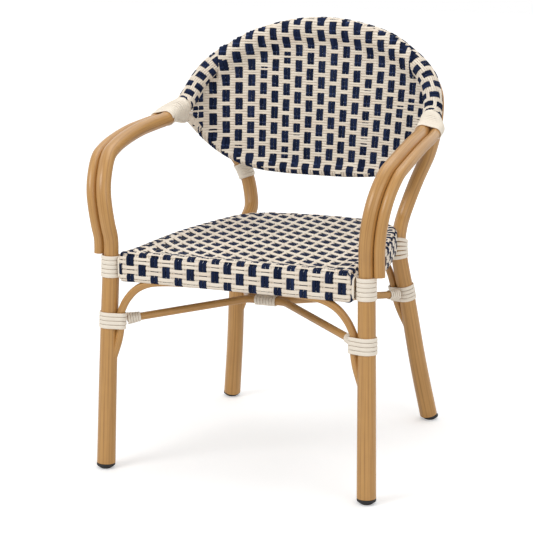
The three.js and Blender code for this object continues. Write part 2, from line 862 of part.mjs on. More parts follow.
function lowerBinding(route, shareAt, level) {
  const stretch = new Stretch(route, shareAt(level - lowerBindingHeight / 2),
    shareAt(level + lowerBindingHeight / 2));
  const outline = lowerOutline(level);
  return windOn(stretch, lowerBindingTurns, () => outline, acrossAxis);
}

addPair('lower_binding_front', lowerBinding(frameRoute, frontShareAt, lowerBindingLevel), cream);
addPair('lower_binding_rear', lowerBinding(hoopRoute, rearShareAt, rearLowerBindingLevel), cream);

// Brace rods: two bent rods bound back to back in the middle, each end bound to a leg
const bracePlaceShare = -0.334;
const braceHalfGap = rodRadius + rodClearance / 2;

// Each rod starts just clear of the lower binding of its leg
function braceRoute(axisAt, bindingLevel, side) {
  const axis = axisAt(bindingLevel - braceEndDrop);
  const corner = new THREE.Vector3(centreBindingLength / 2 + braceBend,
    bracePlaceShare * halfDepth + side * braceHalfGap, braceLevel);
  const towards = corner.clone().sub(axis).normalize();
  const reaches = lowerOutline(bindingLevel).map((spot) => {
    const outward = new THREE.Vector2(spot.across, spot.over).setLength(caneThickness);
    return (spot.x + outward.x) * towards.x + (spot.y + outward.y) * towards.y;
  });
  const end = axis.clone().addScaledVector(towards, Math.max(...reaches) + braceEndGap);
  const others = [corner, end].map((point) => new THREE.Vector3(-point.x, point.y, point.z));
  return withBends([end, corner, ...others], braceBend / 2);
}

function braceBinding(route) {
  const stretch = new Stretch(route, 0, braceBindingLength / route.getLength());
  return windOn(stretch, braceBindingTurns,
    (share) => roundOutline(rodRadius + braceBindingFlare * (1 - share)), upAxis);
}

const frontBraceRoute = braceRoute(frontAxisAt, lowerBindingLevel, -1);
const rearBraceRoute = braceRoute(rearAxisAt, rearLowerBindingLevel, 1);
addPiece('front_brace_rod', tube(frontBraceRoute, rodDiameter, 22, slimSides), bamboo);
addPiece('rear_brace_rod', tube(rearBraceRoute, rodDiameter, 22, slimSides), bamboo);
addPair('brace_end_binding_front', braceBinding(frontBraceRoute), cream);
addPair('brace_end_binding_rear', braceBinding(rearBraceRoute), cream);

// Binding round both brace rods in the middle
const centreDepth = bracePlaceShare * halfDepth;
const centreRoute = new THREE.LineCurve3(
  new THREE.Vector3(-centreBindingLength / 2, centreDepth - braceHalfGap, braceLevel),
  new THREE.Vector3(centreBindingLength / 2, centreDepth - braceHalfGap, braceLevel),
);
addPiece('centre_binding', windOn(centreRoute, centreBindingTurns,
  () => outlineOf([0, braceHalfGap * 2].map((x) => disc(x, 0, rodRadius + clearance)), pairSides),
  depthAxis), cream);

console.log(`Least gap between the turns of a binding: ${leastTurnGap.toFixed(2)} mm`);

// The origin goes under the middle of the outer size
const outerSize = new THREE.Box3().setFromObject(chair);
chair.position.y = -(outerSize.min.y + outerSize.max.y) / 2;

export default chair;
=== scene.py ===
"""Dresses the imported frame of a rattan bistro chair: bamboo tubes, woven cane, bindings and glides."""

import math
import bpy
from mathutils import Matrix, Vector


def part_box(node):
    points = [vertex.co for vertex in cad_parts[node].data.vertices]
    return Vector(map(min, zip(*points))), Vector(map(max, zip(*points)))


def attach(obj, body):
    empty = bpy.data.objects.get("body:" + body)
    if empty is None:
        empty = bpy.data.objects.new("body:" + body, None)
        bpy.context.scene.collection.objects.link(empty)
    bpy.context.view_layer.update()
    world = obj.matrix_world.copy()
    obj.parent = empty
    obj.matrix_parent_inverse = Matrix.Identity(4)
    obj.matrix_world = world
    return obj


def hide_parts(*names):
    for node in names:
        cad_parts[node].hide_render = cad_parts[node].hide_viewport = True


bl_info = {
    "name": "Rattan bistro chair",
    "version": (1, 0, 0),
    "blender": (4, 5, 0),
    "location": "View3D > Sidebar > Bistro chair",
    "description": "Builds the tubes, the woven cane and the bindings of a rattan bistro chair",
    "category": "Object",
}

import bpy
import numpy as np
from bpy.props import FloatProperty, FloatVectorProperty, IntProperty, PointerProperty
from mathutils import Matrix

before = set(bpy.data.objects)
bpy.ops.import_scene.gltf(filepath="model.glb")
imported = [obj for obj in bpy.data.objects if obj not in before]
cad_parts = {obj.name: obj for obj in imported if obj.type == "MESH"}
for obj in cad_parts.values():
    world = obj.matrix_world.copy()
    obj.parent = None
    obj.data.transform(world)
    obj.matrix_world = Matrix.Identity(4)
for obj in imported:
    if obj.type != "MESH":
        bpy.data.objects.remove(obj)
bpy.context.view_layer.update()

# Sizes of the frame, in metres
SEAT_HEIGHT = 0.430
ARM_RISE = 0.229
RIM_RISE = 0.413
FRONT_HALF_SPAN = 0.273
REAR_HALF_SPAN = 0.233
ARM_HALF_SPAN = 0.285
BACK_HALF_SPAN = 0.274
HALF_DEPTH = 0.2725
FOOT_DIAMETER = 0.037
LEG_DIAMETER = 0.033
ARM_DIAMETER = 0.029
OUTER_ARM_DIAMETER = 0.021
HOOP_DIAMETER = 0.030
ROD_DIAMETER = 0.015
LOWER_RAIL_DIAMETER = 0.014
CLEARANCE = 0.0003
HOOP_CLEARANCE = 0.0004
ROD_CLEARANCE = 0.0012
RAIL_WIDTH = 0.020
RAIL_HEIGHT = 0.038
SEAT_HALF_WIDTH = 0.217
SEAT_DEPTH = 0.481
SEAT_REAR_RISE = 0.008
SKIRT_REACH = 0.015
SKIRT_HALF_HEIGHT = 0.024
RIM_DIAMETER = 0.040
GLIDE_HEIGHT = 0.011
GLIDE_FACE_DIAMETER = 0.021
GLIDE_LIP_SHARE = 0.55
GLIDE_ROUNDING = 0.0011
OUTER_ARM_START_RISE = 0.001
OUTER_ARM_END_SHARE = 0.3

# Bindings
BINDING_THICKNESS = 0.0022
SEAT_BINDING_HEIGHT = 0.043
REAR_SEAT_BINDING_HEIGHT = 0.038
REAR_SEAT_BINDING_LEVEL = 0.386
LOWER_BINDING_HEIGHT = 0.032
LOWER_BINDING_LEVEL = 0.302
REAR_LOWER_BINDING_LEVEL = 0.293
TAPER_LENGTH = 0.072
TAPER_START_DEPTH = 0.0330
TAPER_LEVEL_SHARE = 0.38
BRACE_BINDING_LENGTH = 0.026
BRACE_BINDING_FLARE = 0.0025
BRACE_STRIP_THICKNESS = 0.0019
CENTRE_BINDING_LENGTH = 0.044
BACK_BINDING_HEIGHT = 0.034
BACK_BINDING_LEVEL = 0.523

# Rods under the seat
FRONT_ARCH_TOP = 0.387
REAR_ARCH_TOP = 0.381
ARCH_TAIL_LENGTH = 0.062
ARCH_TAIL_BEND = 0.4
BRACE_LEVEL = 0.327
BRACE_END_DROP = 0.005
BRACE_BEND = 0.018
BRACE_END_GAP = 0.004
BRACE_DEPTH = -0.091

# Of the front and of the rear legs: level of the lower binding, top of the arch, the arch's depth from the
# front rail, and the side on which the brace meets the other
UNDER_SEAT = {
    "front": (LOWER_BINDING_LEVEL, FRONT_ARCH_TOP, 0, -1),
    "rear": (REAR_LOWER_BINDING_LEVEL, REAR_ARCH_TOP, SEAT_DEPTH, 1),
}

# Ends of the back's lower rail, and how far below a binding's top the rear leg narrows
RAIL_END_SETBACK = 0.005
RAIL_END_TUCK = 0.004
SWAGE_DROP = 0.006

# Routes of the right half: side, depth and height as shares of span, half depth and rise
FRONT_LEG = [(1, -1, 0), (0.985, -0.975, 0.4), (0.97, -0.95, 0.75), (0.961, -0.937, 0.93)]
ARM = [
    (0.916, -0.938, 0.14), (0.923, -0.961, 0.253), (0.937, -0.973, 0.406), (0.954, -0.958, 0.55),
    (0.972, -0.899, 0.69), (0.993, -0.793, 0.817), (1.003, -0.686, 0.865), (1.007, -0.54, 0.908),
    (1, -0.268, 0.961), (0.982, 0, 0.987), (0.968, 0.11, 1),
]
RIM = [
    (1, 0.276, 0.583), (0.989, 0.404, 0.604), (0.969, 0.503, 0.655), (0.934, 0.58, 0.719),
    (0.88, 0.646, 0.777), (0.797, 0.697, 0.828), (0.703, 0.747, 0.869), (0.602, 0.793, 0.908),
    (0.491, 0.822, 0.942), (0.245, 0.829, 0.985), (0, 0.826, 1),
]
LOWER_RAIL = [
    (0.978, 0.452, 0.535), (0.955, 0.507, 0.505), (0.915, 0.55, 0.46), (0.855, 0.583, 0.415),
    (0.78, 0.609, 0.372), (0.66, 0.638, 0.325), (0.5, 0.669, 0.29), (0.28, 0.692, 0.274),
    (0, 0.7, 0.271),
]
REAR_LEG = [
    (1, 1, 0), (0.914, 0.895, 0.31), (0.841, 0.797, 0.628), (0.788, 0.748, 0.814),
    (0.764, 0.746, 0.895), (0.751, 0.79, 0.965),
]
REAR_RISE = [
    (0.632, 0.897, 0.036), (0.662, 0.948, 0.121), (0.695, 0.966, 0.189), (0.733, 0.957, 0.249),
    (0.781, 0.922, 0.31), (0.832, 0.866, 0.37), (0.88, 0.796, 0.441), (0.921, 0.724, 0.516),
]

# Shares of the half rim at which the hoop runs beside the roll
BESIDE_ROLL = (0.26, 0.34, 0.43, 0.52, 0.61, 0.7, 0.8, 0.9, 1)

# Right side of the seat: side and depth as shares of its half width and depth
SEAT_PLAN = [
    (1, 0), (0.995, 0.3), (0.965, 0.5), (0.905, 0.66), (0.842, 0.795), (0.755, 0.895),
    (0.59, 0.964), (0.3, 0.992), (0, 1),
]

# Right half of an arch: side and height as shares of its span and rise
ARCH = [(0.988, 0.1), (0.945, 0.38), (0.86, 0.7), (0.75, 0.89), (0.62, 0.965), (0.42, 1), (0, 1)]

ACROSS = np.array([1.0, 0.0, 0.0])
DEPTH = np.array([0.0, 1.0, 0.0])
UP = np.array([0.0, 0.0, 1.0])
HOOP_LEAN = (0, 1, -0.45)
ROLL_LEAN = -DEPTH - 0.45 * UP
SIDES = (("right", 1), ("left", -1))


def length_setting(name, description, default):
    return FloatProperty(name=name, description=description, default=default, unit="LENGTH")


def colour_setting(name, description, default):
    return FloatVectorProperty(name=name, description=description, default=default, subtype="COLOR")


class ChairSizes(bpy.types.PropertyGroup):
    """Sizes of the cane"""

    strand_thickness: length_setting("Strand thickness", "Thickness of a woven strand", 0.0017)
    column_pitch: length_setting("Column pitch", "From one navy column of the back to the next", 0.0257)
    row_pitch: length_setting("Row pitch", "From one cream row of the back to the next", 0.0055)
    seat_column_pitch: length_setting(
        "Seat column pitch", "From one navy column of the seat to the next", 0.028
    )
    seat_period: length_setting("Seat period", "From one navy check to the next along a seat column", 0.039)
    skirt_pitch: length_setting("Skirt pitch", "From one navy column of the seat's side to the next", 0.0255)
    tube_sides: IntProperty(
        name="Tube sides", description="Sides of a round tube", default=32, min=12, max=64
    )


class ChairColours(bpy.types.PropertyGroup):
    """Colours of the finishes"""

    bamboo: colour_setting("Bamboo", "Coating of the tubes", (0.57, 0.305, 0.092))
    bamboo_streak: colour_setting("Bamboo streak", "Darker streaks of the tubes", (0.27, 0.115, 0.028))
    cream: colour_setting("Cream", "Cream cane", (0.91, 0.835, 0.715))
    cream_streak: colour_setting("Cream streak", "Faint lines in the cream cane", (0.68, 0.52, 0.385))
    navy: colour_setting("Navy", "Navy cane", (0.003, 0.006, 0.020))
    # Navy streak: lighter lines in the cane, and the colour of the painted highlight at the back's creases
    navy_streak_and_highlight: colour_setting("Navy streak", "Lighter lines in the navy cane", (0.040, 0.062, 0.15))
    glide: colour_setting("Glide", "Foot glides", (0.012, 0.012, 0.013))
    inner_tube: colour_setting("Inner tube", "Tubes inside the weave", (0.34, 0.22, 0.11))


# Routes


def unit(vectors):
    return vectors / np.linalg.norm(vectors, axis=-1, keepdims=True)


def square_to(direction, heading):
    """The part of a direction that stands square to a heading."""
    along = np.sum(direction * heading, axis=-1, keepdims=True)
    return unit(direction - along * heading)


def smooth_line(points, per_span=48):
    """A centripetal curve through the points."""
    inner = np.asarray(points, float)
    outer = np.vstack([2 * inner[0] - inner[1], inner, 2 * inner[-1] - inner[-2]])
    share = np.linspace(0, 1, per_span, endpoint=False)[:, None]
    spans = []
    for index in range(len(inner) - 1):
        before, start, end, after = outer[index : index + 4]
        steps = ((before, start), (start, end), (end, after))
        first, second, third = (math.sqrt(max(np.linalg.norm(b - a), 1e-9)) for a, b in steps)
        leave = (start - before) / first - (end - before) / (first + second) + (end - start) / second
        arrive = (end - start) / second - (after - start) / (second + third) + (after - end) / third
        leave, arrive = leave * second, arrive * second
        bend = -3 * start + 3 * end - 2 * leave - arrive
        twist = 2 * start - 2 * end + leave + arrive
        spans.append(start + leave * share + bend * share**2 + twist * share**3)
    return np.vstack([*spans, inner[-1:]])


class Route:
    """A line in space that is measured by its length."""

    def __init__(self, points, smooth=True):
        self.line = smooth_line(points) if smooth else np.asarray(points, float)
        steps = np.linalg.norm(np.diff(self.line, axis=0), axis=1)
        self.reach = np.concatenate([[0], np.cumsum(steps)])
        self.length = float(self.reach[-1])

    def at(self, distance):
        return np.stack([np.interp(distance, self.reach, self.line[:, axis]) for axis in range(3)], -1)

    def heading(self, distance, gap=0.003):
        distance = np.asarray(distance, float)
        onward = self.at(np.minimum(distance + gap, self.length))
        return unit(onward - self.at(np.maximum(distance - gap, 0)))

    def where(self, axis, value, start, end, steps=1500):
        """Distance at which a coordinate reaches a value, on a stretch where it only grows or falls."""
        distances = np.linspace(start * self.length, end * self.length, steps)
        values = self.at(distances)[:, axis]
        order = np.argsort(values)
        return float(np.interp(value, values[order], distances[order]))


def placed(rows, span, level, rise):
    """Places from rows of shares of a span, the half depth and a rise above a level."""
    return [(side * span, depth * HALF_DEPTH, level + height * rise) for side, depth, height in rows]


def both_halves(points):
    """A route from the right foot over the middle to the left one."""
    return Route([*points, *[(-x, y, z) for x, y, z in reversed(points[:-1])]])


def beside(route, distance, lean, gap):
    """Places at a gap from a route, on the side that a direction leans to."""
    lean = np.asarray(lean, float)
    return route.at(distance) + square_to(lean, route.heading(distance)) * gap


def with_bends(points, bend):
    """Straight runs whose corners are rounded over one bend length."""
    points = [np.asarray(point, float) for point in points]
    line = [points[0]]
    for back, corner, onward in zip(points, points[1:], points[2:]):
        to_back, to_next = unit(back - corner) * bend, unit(onward - corner) * bend
        before, after = corner + to_back, corner + to_next
        line += [before + to_back, before, ((before + after) / 2 + corner) / 2, after, after + to_next]
    return Route([*line, points[-1]])


rim_points = placed(RIM, BACK_HALF_SPAN, SEAT_HEIGHT, RIM_RISE)
half_rim_route = Route(rim_points)
frame_route = both_halves(
    placed(FRONT_LEG, FRONT_HALF_SPAN, 0, SEAT_HEIGHT)
    + placed(ARM, ARM_HALF_SPAN, SEAT_HEIGHT, ARM_RISE)
    + rim_points
)
ROLL_DISTANCE = (RIM_DIAMETER + HOOP_DIAMETER) / 2 + HOOP_CLEARANCE
beside_roll = [
    tuple(beside(half_rim_route, share * half_rim_route.length, HOOP_LEAN, ROLL_DISTANCE))
    for share in BESIDE_ROLL
]
hoop_route = both_halves(
    placed(REAR_LEG, REAR_HALF_SPAN, 0, SEAT_HEIGHT)
    + placed(REAR_RISE, BACK_HALF_SPAN, SEAT_HEIGHT, RIM_RISE)
    + beside_roll
)


def front_distance(height):
    return frame_route.where(2, height, 0, 0.3)


def rear_distance(height):
    return hoop_route.where(2, height, 0, 0.45)


LEGS = {"front": (frame_route, front_distance), "rear": (hoop_route, rear_distance)}
taper_from = frame_route.where(1, TAPER_START_DEPTH, 0.25, 0.48)
taper_to = taper_from + TAPER_LENGTH
arm_to = taper_from + TAPER_LENGTH / 2
RAIL_END_DISTANCE = (RIM_DIAMETER + LOWER_RAIL_DIAMETER) / 2 + CLEARANCE * 2
lower_rail_points = [
    tuple(beside(frame_route, taper_to - RAIL_END_SETBACK, -UP, RAIL_END_DISTANCE - RAIL_END_TUCK)),
    *placed(LOWER_RAIL, BACK_HALF_SPAN, SEAT_HEIGHT, RIM_RISE),
]
lower_rail_route = both_halves(lower_rail_points)
half_rail_route = Route(lower_rail_points)
OUTER_ARM_DISTANCE = (ARM_DIAMETER + OUTER_ARM_DIAMETER) / 2 + CLEARANCE
OUTER_ARM_LEAN = np.array([1.0, 0.0, -0.08])

front_rail_level = SEAT_HEIGHT - SEAT_BINDING_HEIGHT / 2
front_swage = front_distance(front_rail_level)
front_joint = frame_route.at(front_swage)
rear_swage = rear_distance(REAR_SEAT_BINDING_LEVEL + REAR_SEAT_BINDING_HEIGHT / 2 - SWAGE_DROP)
seat_tilt = math.atan2(SEAT_REAR_RISE, SEAT_DEPTH)


def leg_diameter_at(height):
    drop = np.maximum(0, SEAT_HEIGHT - np.asarray(height)) / SEAT_HEIGHT
    return LEG_DIAMETER + drop * (FOOT_DIAMETER - LEG_DIAMETER)


# Building meshes

MOST_CUTS = 60
NEAR_LEVEL = 1e-6
GLIDE_NEAR = 1e-5
GLIDE_BEYOND_FACE = 0.002
GLIDE_WITHIN_FACE = 0.001

# Shifts of the grain from one strand to the next
GRAIN_ACROSS = 0.031
GRAIN_ALONG = 0.173


def only(obj):
    """Selects one object and makes it active."""
    bpy.ops.object.select_all(action="DESELECT")
    obj.select_set(True)
    bpy.context.view_layer.objects.active = obj


def select_where(obj, kind, test):
    """Selects, in edit mode, each vertex, edge or face whose corner places pass a test."""
    bpy.ops.object.mode_set(mode="EDIT")
    bpy.ops.mesh.select_mode(type=kind)
    bpy.ops.mesh.select_all(action="DESELECT")
    bpy.ops.object.mode_set(mode="OBJECT")
    mesh = obj.data
    items = {"VERT": mesh.vertices, "EDGE": mesh.edges, "FACE": mesh.polygons}[kind]
    for item in items:
        if kind == "VERT":
            item.select = test([item.co])
        else:
            item.select = test([mesh.vertices[index].co for index in item.vertices])
    bpy.ops.object.mode_set(mode="EDIT")


def store_lay(mesh, lay):
    """Keeps where each vertex was on the straight piece, for the grain of its material."""
    attribute = mesh.attributes.new("lay", "FLOAT_VECTOR", "POINT")
    attribute.data.foreach_set("vector", np.asarray(lay, np.float32).ravel())


def paint(obj, material):
    obj.data.materials.clear()
    obj.data.materials.append(bpy.data.materials[material])


def finish_piece(obj, name, material, replaced):
    obj.name = name
    obj.data.name = name
    paint(obj, material)
    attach(obj, "root")
    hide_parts(replaced)


def smoothed(obj, degrees):
    only(obj)
    bpy.ops.object.shade_smooth_by_angle(angle=math.radians(degrees))


def straight_rod(sections):
    """A round bar of radius 1 along Z from 0 to 1, cut into even sections."""
    sides = bpy.context.scene.chair_sizes.tube_sides
    bpy.ops.object.select_all(action="DESELECT")
    bpy.ops.mesh.primitive_cylinder_add(vertices=sides, radius=1, depth=1, location=(0, 0, 0.5))
    obj = bpy.context.object
    bpy.ops.object.transform_apply(location=True, rotation=True, scale=True)
    coarse = min(MOST_CUTS, sections)
    for cuts in (coarse, max(1, round(sections / coarse))):
        if cuts < 2:
            continue
        select_where(obj, "EDGE", lambda ends: abs(ends[0].z - ends[1].z) > NEAR_LEVEL)
        bpy.ops.mesh.subdivide(number_cuts=cuts - 1)
        bpy.ops.object.mode_set(mode="OBJECT")
    return obj


def bent_rod(name, route, start, end, radius_at, replaced,
             section=0.007, material="bamboo coating"):
    """Bends a straight bar along a route. radius_at gives its radius at a distance and place."""
    obj = straight_rod(max(4, round((end - start) / section)))
    mesh = obj.data
    spots = np.zeros(len(mesh.vertices) * 3)
    mesh.vertices.foreach_get("co", spots)
    spots = spots.reshape(-1, 3)
    levels, which = np.unique(np.round(spots[:, 2], 5), return_inverse=True)
    distances = start + levels * (end - start)
    centres, headings = route.at(distances), route.heading(distances)
    runs_across = abs(headings[0][0]) >= 0.8
    across = [square_to(DEPTH if runs_across else ACROSS, headings[0])]
    for heading in headings[1:]:
        across.append(square_to(across[-1], heading))
    across = np.array(across)
    over = np.cross(headings, across)
    radius = np.array([radius_at(distance, centre) for distance, centre in zip(distances, centres)])
    rounds = spots[:, :2] * radius[which][:, None]
    laid = centres[which] + across[which] * rounds[:, :1] + over[which] * rounds[:, 1:]
    mesh.vertices.foreach_set("co", laid.ravel())
    store_lay(mesh, np.column_stack([rounds, distances[which]]))
    mesh.update()
    smoothed(obj, degrees=50)
    finish_piece(obj, name, material, replaced)


def flat_section(width, thickness):
    """Section of a flat cane strand with rounded edges, anticlockwise."""
    x, y = width / 2, thickness / 2
    in_x = min(width * 0.22, thickness * 0.8)
    return np.array([
        (x - in_x, -y), (x, -y * 0.2), (x - in_x * 0.3, y * 0.6), (x - in_x, y),
        (in_x - x, y), (in_x * 0.3 - x, y * 0.6), (-x, -y * 0.2), (in_x - x, -y),
    ])


def ribbed_section(width, thickness):
    """Section of a flat strand with two ribs along its upper side, anticlockwise."""
    x, y = width / 2, thickness / 2
    in_x = min(width * 0.12, thickness * 0.6)
    return np.array([
        (x - in_x, -y), (x, -y * 0.2), (x - in_x, y * 0.75), (x * 0.5, y), (x * 0.14, y * 0.35),
        (-x * 0.14, y * 0.35), (-x * 0.5, y), (in_x - x, y * 0.75), (-x, -y * 0.2), (in_x - x, -y),
    ])


class Bundle:
    """Many strands that are kept as one mesh."""

    def __init__(self, seed=1):
        self.spots, self.lays, self.tones, self.corners, self.sizes = [], [], [], [], []
        self.count, self.strands = 0, 0
        self.random = np.random.default_rng(seed)

    def add(self, section, centres, normals, closed=False, mirror=False, widths=None, tones=0):
        """One strand along centres, its section's upper side towards normals."""
        centres = np.asarray(centres, float)
        if closed:
            headings = unit(np.roll(centres, -1, 0) - np.roll(centres, 1, 0))
        else:
            headings = unit(np.gradient(centres, axis=0))
        normals = square_to(normals, headings)
        wide = np.cross(normals, headings)
        if widths is not None:
            wide = wide * np.asarray(widths)[:, None]
        rings = (
            centres[:, None]
            + wide[:, None] * section[None, :, :1]
            + normals[:, None] * section[None, :, 1:]
        )
        steps = np.linalg.norm(np.diff(centres, axis=0), axis=1)
        along = np.concatenate([[0], np.cumsum(steps)])
        lay = np.zeros(rings.shape)
        lay[..., :2] = section[None]
        lay[..., 0] += GRAIN_ACROSS * self.strands
        lay[..., 2] = along[:, None] + GRAIN_ALONG * self.strands
        if mirror:
            rings, lay = rings[:, ::-1] * (-1, 1, 1), lay[:, ::-1]
        self.strands += 1
        count, around = rings.shape[:2]
        ring = np.arange(count if closed else count - 1)[:, None]
        side = np.arange(around)[None]
        here, onward = ring * around, (ring + 1) % count * around
        beside_it = (side + 1) % around
        quads = np.stack([here + side, here + beside_it, onward + beside_it, onward + side], -1)
        quads = quads.reshape(-1, 4)
        self.corners.append((quads + self.count).ravel())
        self.sizes.append(np.full(len(quads), 4))
        if not closed:
            first = np.arange(around)[::-1]
            last = np.arange(around) + (count - 1) * around
            self.corners += [first + self.count, last + self.count]
            self.sizes.append(np.full(2, around))
        self.spots.append(rings.reshape(-1, 3))
        self.lays.append(lay.reshape(-1, 3))
        # Each strand gets a random tone; the extra tone given ring by ring is a painted highlight
        self.tones.append(np.repeat(self.random.random() + tones * np.ones(count), around))
        self.count += count * around

    def piece(self, name, material, slot, replaced):
        spots = np.vstack(self.spots)
        corners, sizes = np.concatenate(self.corners), np.concatenate(self.sizes)
        mesh = bpy.data.meshes.new(name)
        mesh.vertices.add(len(spots))
        mesh.vertices.foreach_set("co", spots.ravel())
        mesh.loops.add(len(corners))
        mesh.loops.foreach_set("vertex_index", corners.astype(np.int32))
        mesh.polygons.add(len(sizes))
        mesh.polygons.foreach_set("loop_start", (np.cumsum(sizes) - sizes).astype(np.int32))
        mesh.polygons.foreach_set("loop_total", sizes.astype(np.int32))
        mesh.polygons.foreach_set("use_smooth", sizes == 4)
        mesh.update(calc_edges=True)
        store_lay(mesh, np.vstack(self.lays))
        # The tone attribute holds each strand's random tone, raised where a highlight is painted
        tone = mesh.attributes.new("tone", "FLOAT", "POINT")
        tone.data.foreach_set("value", np.concatenate(self.tones).astype(np.float32))
        obj = bpy.data.objects.new(name, mesh)
        bpy.context.scene.collection.objects.link(obj)
        finish_piece(obj, name, material, replaced)


# Materials


def fill(tree, node, inputs):
    """Gives a node's inputs their values, or links them to the outputs of other nodes."""
    for name, value in inputs.items():
        if isinstance(value, bpy.types.NodeSocket):
            tree.links.new(value, node.inputs[name])
        else:
            node.inputs[name].default_value = value
    return node


def add_node(tree, kind, inputs, **settings):
    """A new node with its own settings, and its inputs filled."""
    node = tree.nodes.new(f"ShaderNode{kind}")
    for name, value in settings.items():
        setattr(node, name, value)
    return fill(tree, node, inputs)


def grain_group():
    """Fine lines that run along a strand or tube, as a colour, a roughness and a height."""
    group = bpy.data.node_groups.new("grain along", "ShaderNodeTree")
    for name, kind, default in (
        ("Base", "Color", (0.8, 0.8, 0.8, 1)), ("Streak", "Color", (0.2, 0.2, 0.2, 1)),
        ("Fineness", "Float", 900.0), ("Stretch", "Float", 12.0), ("Amount", "Float", 0.5),
        ("Patchiness", "Float", 0.2), ("Difference", "Float", 0.0), ("Roughness", "Float", 0.5),
    ):
        socket = group.interface.new_socket(name=name, in_out="INPUT", socket_type=f"NodeSocket{kind}")
        socket.default_value = default
    for name, kind in (("Color", "Color"), ("Roughness", "Float"), ("Height", "Float")):
        group.interface.new_socket(name=name, in_out="OUTPUT", socket_type=f"NodeSocket{kind}")
    given = group.nodes.new("NodeGroupInput").outputs

    def math_node(operation, *values, **settings):
        return add_node(group, "Math", dict(enumerate(values)), operation=operation, **settings).outputs[0]

    lay = add_node(group, "Attribute", {}, attribute_name="lay").outputs["Vector"]
    tone = add_node(group, "Attribute", {}, attribute_name="tone").outputs["Fac"]
    scale = add_node(
        group, "CombineXYZ", {"X": given["Fineness"], "Y": given["Fineness"], "Z": given["Stretch"]}
    ).outputs["Vector"]
    stretched = add_node(group, "VectorMath", {0: lay, 1: scale}, operation="MULTIPLY").outputs["Vector"]
    fine = add_node(
        group, "TexNoise", {"Vector": stretched, "Scale": 1.0, "Detail": 3.0, "Roughness": 0.6}
    ).outputs["Fac"]
    blotches = add_node(group, "TexNoise", {"Vector": lay, "Scale": 26.0, "Detail": 2.0}).outputs["Fac"]
    lines = add_node(group, "MapRange", {"Value": fine, "From Min": 0.42, "From Max": 0.72})
    patches = add_node(group, "MapRange", {"Value": blotches, "From Min": 0.35, "From Max": 0.7})
    by_line = math_node("MULTIPLY", lines.outputs["Result"], given["Amount"])
    by_patch = math_node("MULTIPLY", patches.outputs["Result"], given["Patchiness"])
    # Tone: each strand's random tone, and the painted highlight at the back's navy creases, mixed to Streak
    strand_tone_and_highlight = math_node("MULTIPLY_ADD", tone, given["Difference"], by_patch)
    total = math_node("ADD", by_line, strand_tone_and_highlight, use_clamp=True)
    colours = {"Factor": total, "A": given["Base"], "B": given["Streak"]}
    mix = add_node(group, "Mix", colours, data_type="RGBA")
    fill(group, group.nodes.new("NodeGroupOutput"), {
        "Color": mix.outputs["Result"],
        "Roughness": math_node("MULTIPLY_ADD", fine, 0.16, given["Roughness"]),
        "Height": fine,
    })


def new_finish(name):
    """A new material's node tree and its shader."""
    material = bpy.data.materials.new(name)
    material.use_nodes = True
    return material.node_tree, material.node_tree.nodes["Principled BSDF"]


def grained(name, base, streak, bump, specular, coat=0.0, **grain):
    """A finish whose grain runs along the piece, with values for the grain group's inputs by name."""
    tree, shader = new_finish(name)
    values = {"Base": (*base, 1), "Streak": (*streak, 1)}
    values.update((part.capitalize(), value) for part, value in grain.items())
    group = add_node(tree, "Group", values, node_tree=bpy.data.node_groups["grain along"])
    relief = add_node(tree, "Bump", {"Strength": bump, "Distance": 0.0004, "Height": group.outputs["Height"]})
    fill(tree, shader, {
        "Base Color": group.outputs["Color"],
        "Roughness": group.outputs["Roughness"],
        "Normal": relief.outputs["Normal"],
        "Coat Weight": coat,
        "Coat Roughness": 0.25,
        "Specular IOR Level": specular,
    })


def plain_grained(name, colour, roughness, scale):
    """A plain satin finish with a fine uneven surface, on Object coordinates."""
    tree, shader = new_finish(name)
    place = add_node(tree, "TexCoord", {}).outputs["Object"]
    noise = add_node(tree, "TexNoise", {"Vector": place, "Scale": scale, "Detail": 4.0}).outputs["Fac"]
    darker, paler = ((*[min(1, part * share) for part in colour], 1) for share in (0.75, 1.3))
    tone = add_node(tree, "Mix", {"Factor": noise, "A": darker, "B": paler}, data_type="RGBA")
    relief = add_node(tree, "Bump", {"Strength": 0.2, "Distance": 0.0003, "Height": noise})
    fill(tree, shader, {
        "Base Color": tone.outputs["Result"], "Normal": relief.outputs["Normal"], "Roughness": roughness,
    })


class CHAIR_OT_finishes(bpy.types.Operator):
    """Makes the finishes of the chair"""

    bl_idname = "chair.finishes"
    bl_label = "Finishes"

    def execute(self, context):
        colours = context.scene.chair_colours
        grain_group()
        grained(
            "bamboo coating", colours.bamboo, colours.bamboo_streak, bump=0.12, specular=0.5, coat=0.2,
            fineness=420, stretch=3.0, amount=0.6, patchiness=0.1, difference=0, roughness=0.26,
        )
        grained(
            "cream cane", colours.cream, colours.cream_streak, bump=0.35, specular=0.35,
            fineness=1300, stretch=14, amount=0.3, patchiness=0.2, difference=0.2, roughness=0.42,
        )
        grained(
            "cream binding", colours.cream, colours.cream_streak, bump=0.22, specular=0.35,
            fineness=1300, stretch=14, amount=0.12, patchiness=0.1, difference=0.08, roughness=0.46,
        )
        grained(
            "navy cane", colours.navy, colours.navy_streak_and_highlight, bump=0.45, specular=0.03,
            fineness=700, stretch=16, amount=0.35, patchiness=0.15, difference=0.18, roughness=0.36,
        )
        plain_grained("glide rubber", colours.glide, roughness=0.55, scale=300)
        plain_grained("inner tube", colours.inner_tube, roughness=0.5, scale=120)
        return {"FINISHED"}


# Tubes and rods


def front_leg_radius(distance, centre):
    if distance < front_swage:
        return float(leg_diameter_at(centre[2])) / 2
    return ARM_DIAMETER / 2


def hoop_radius(distance, centre):
    if min(distance, hoop_route.length - distance) < rear_swage:
        return float(leg_diameter_at(centre[2])) / 2
    return HOOP_DIAMETER / 2


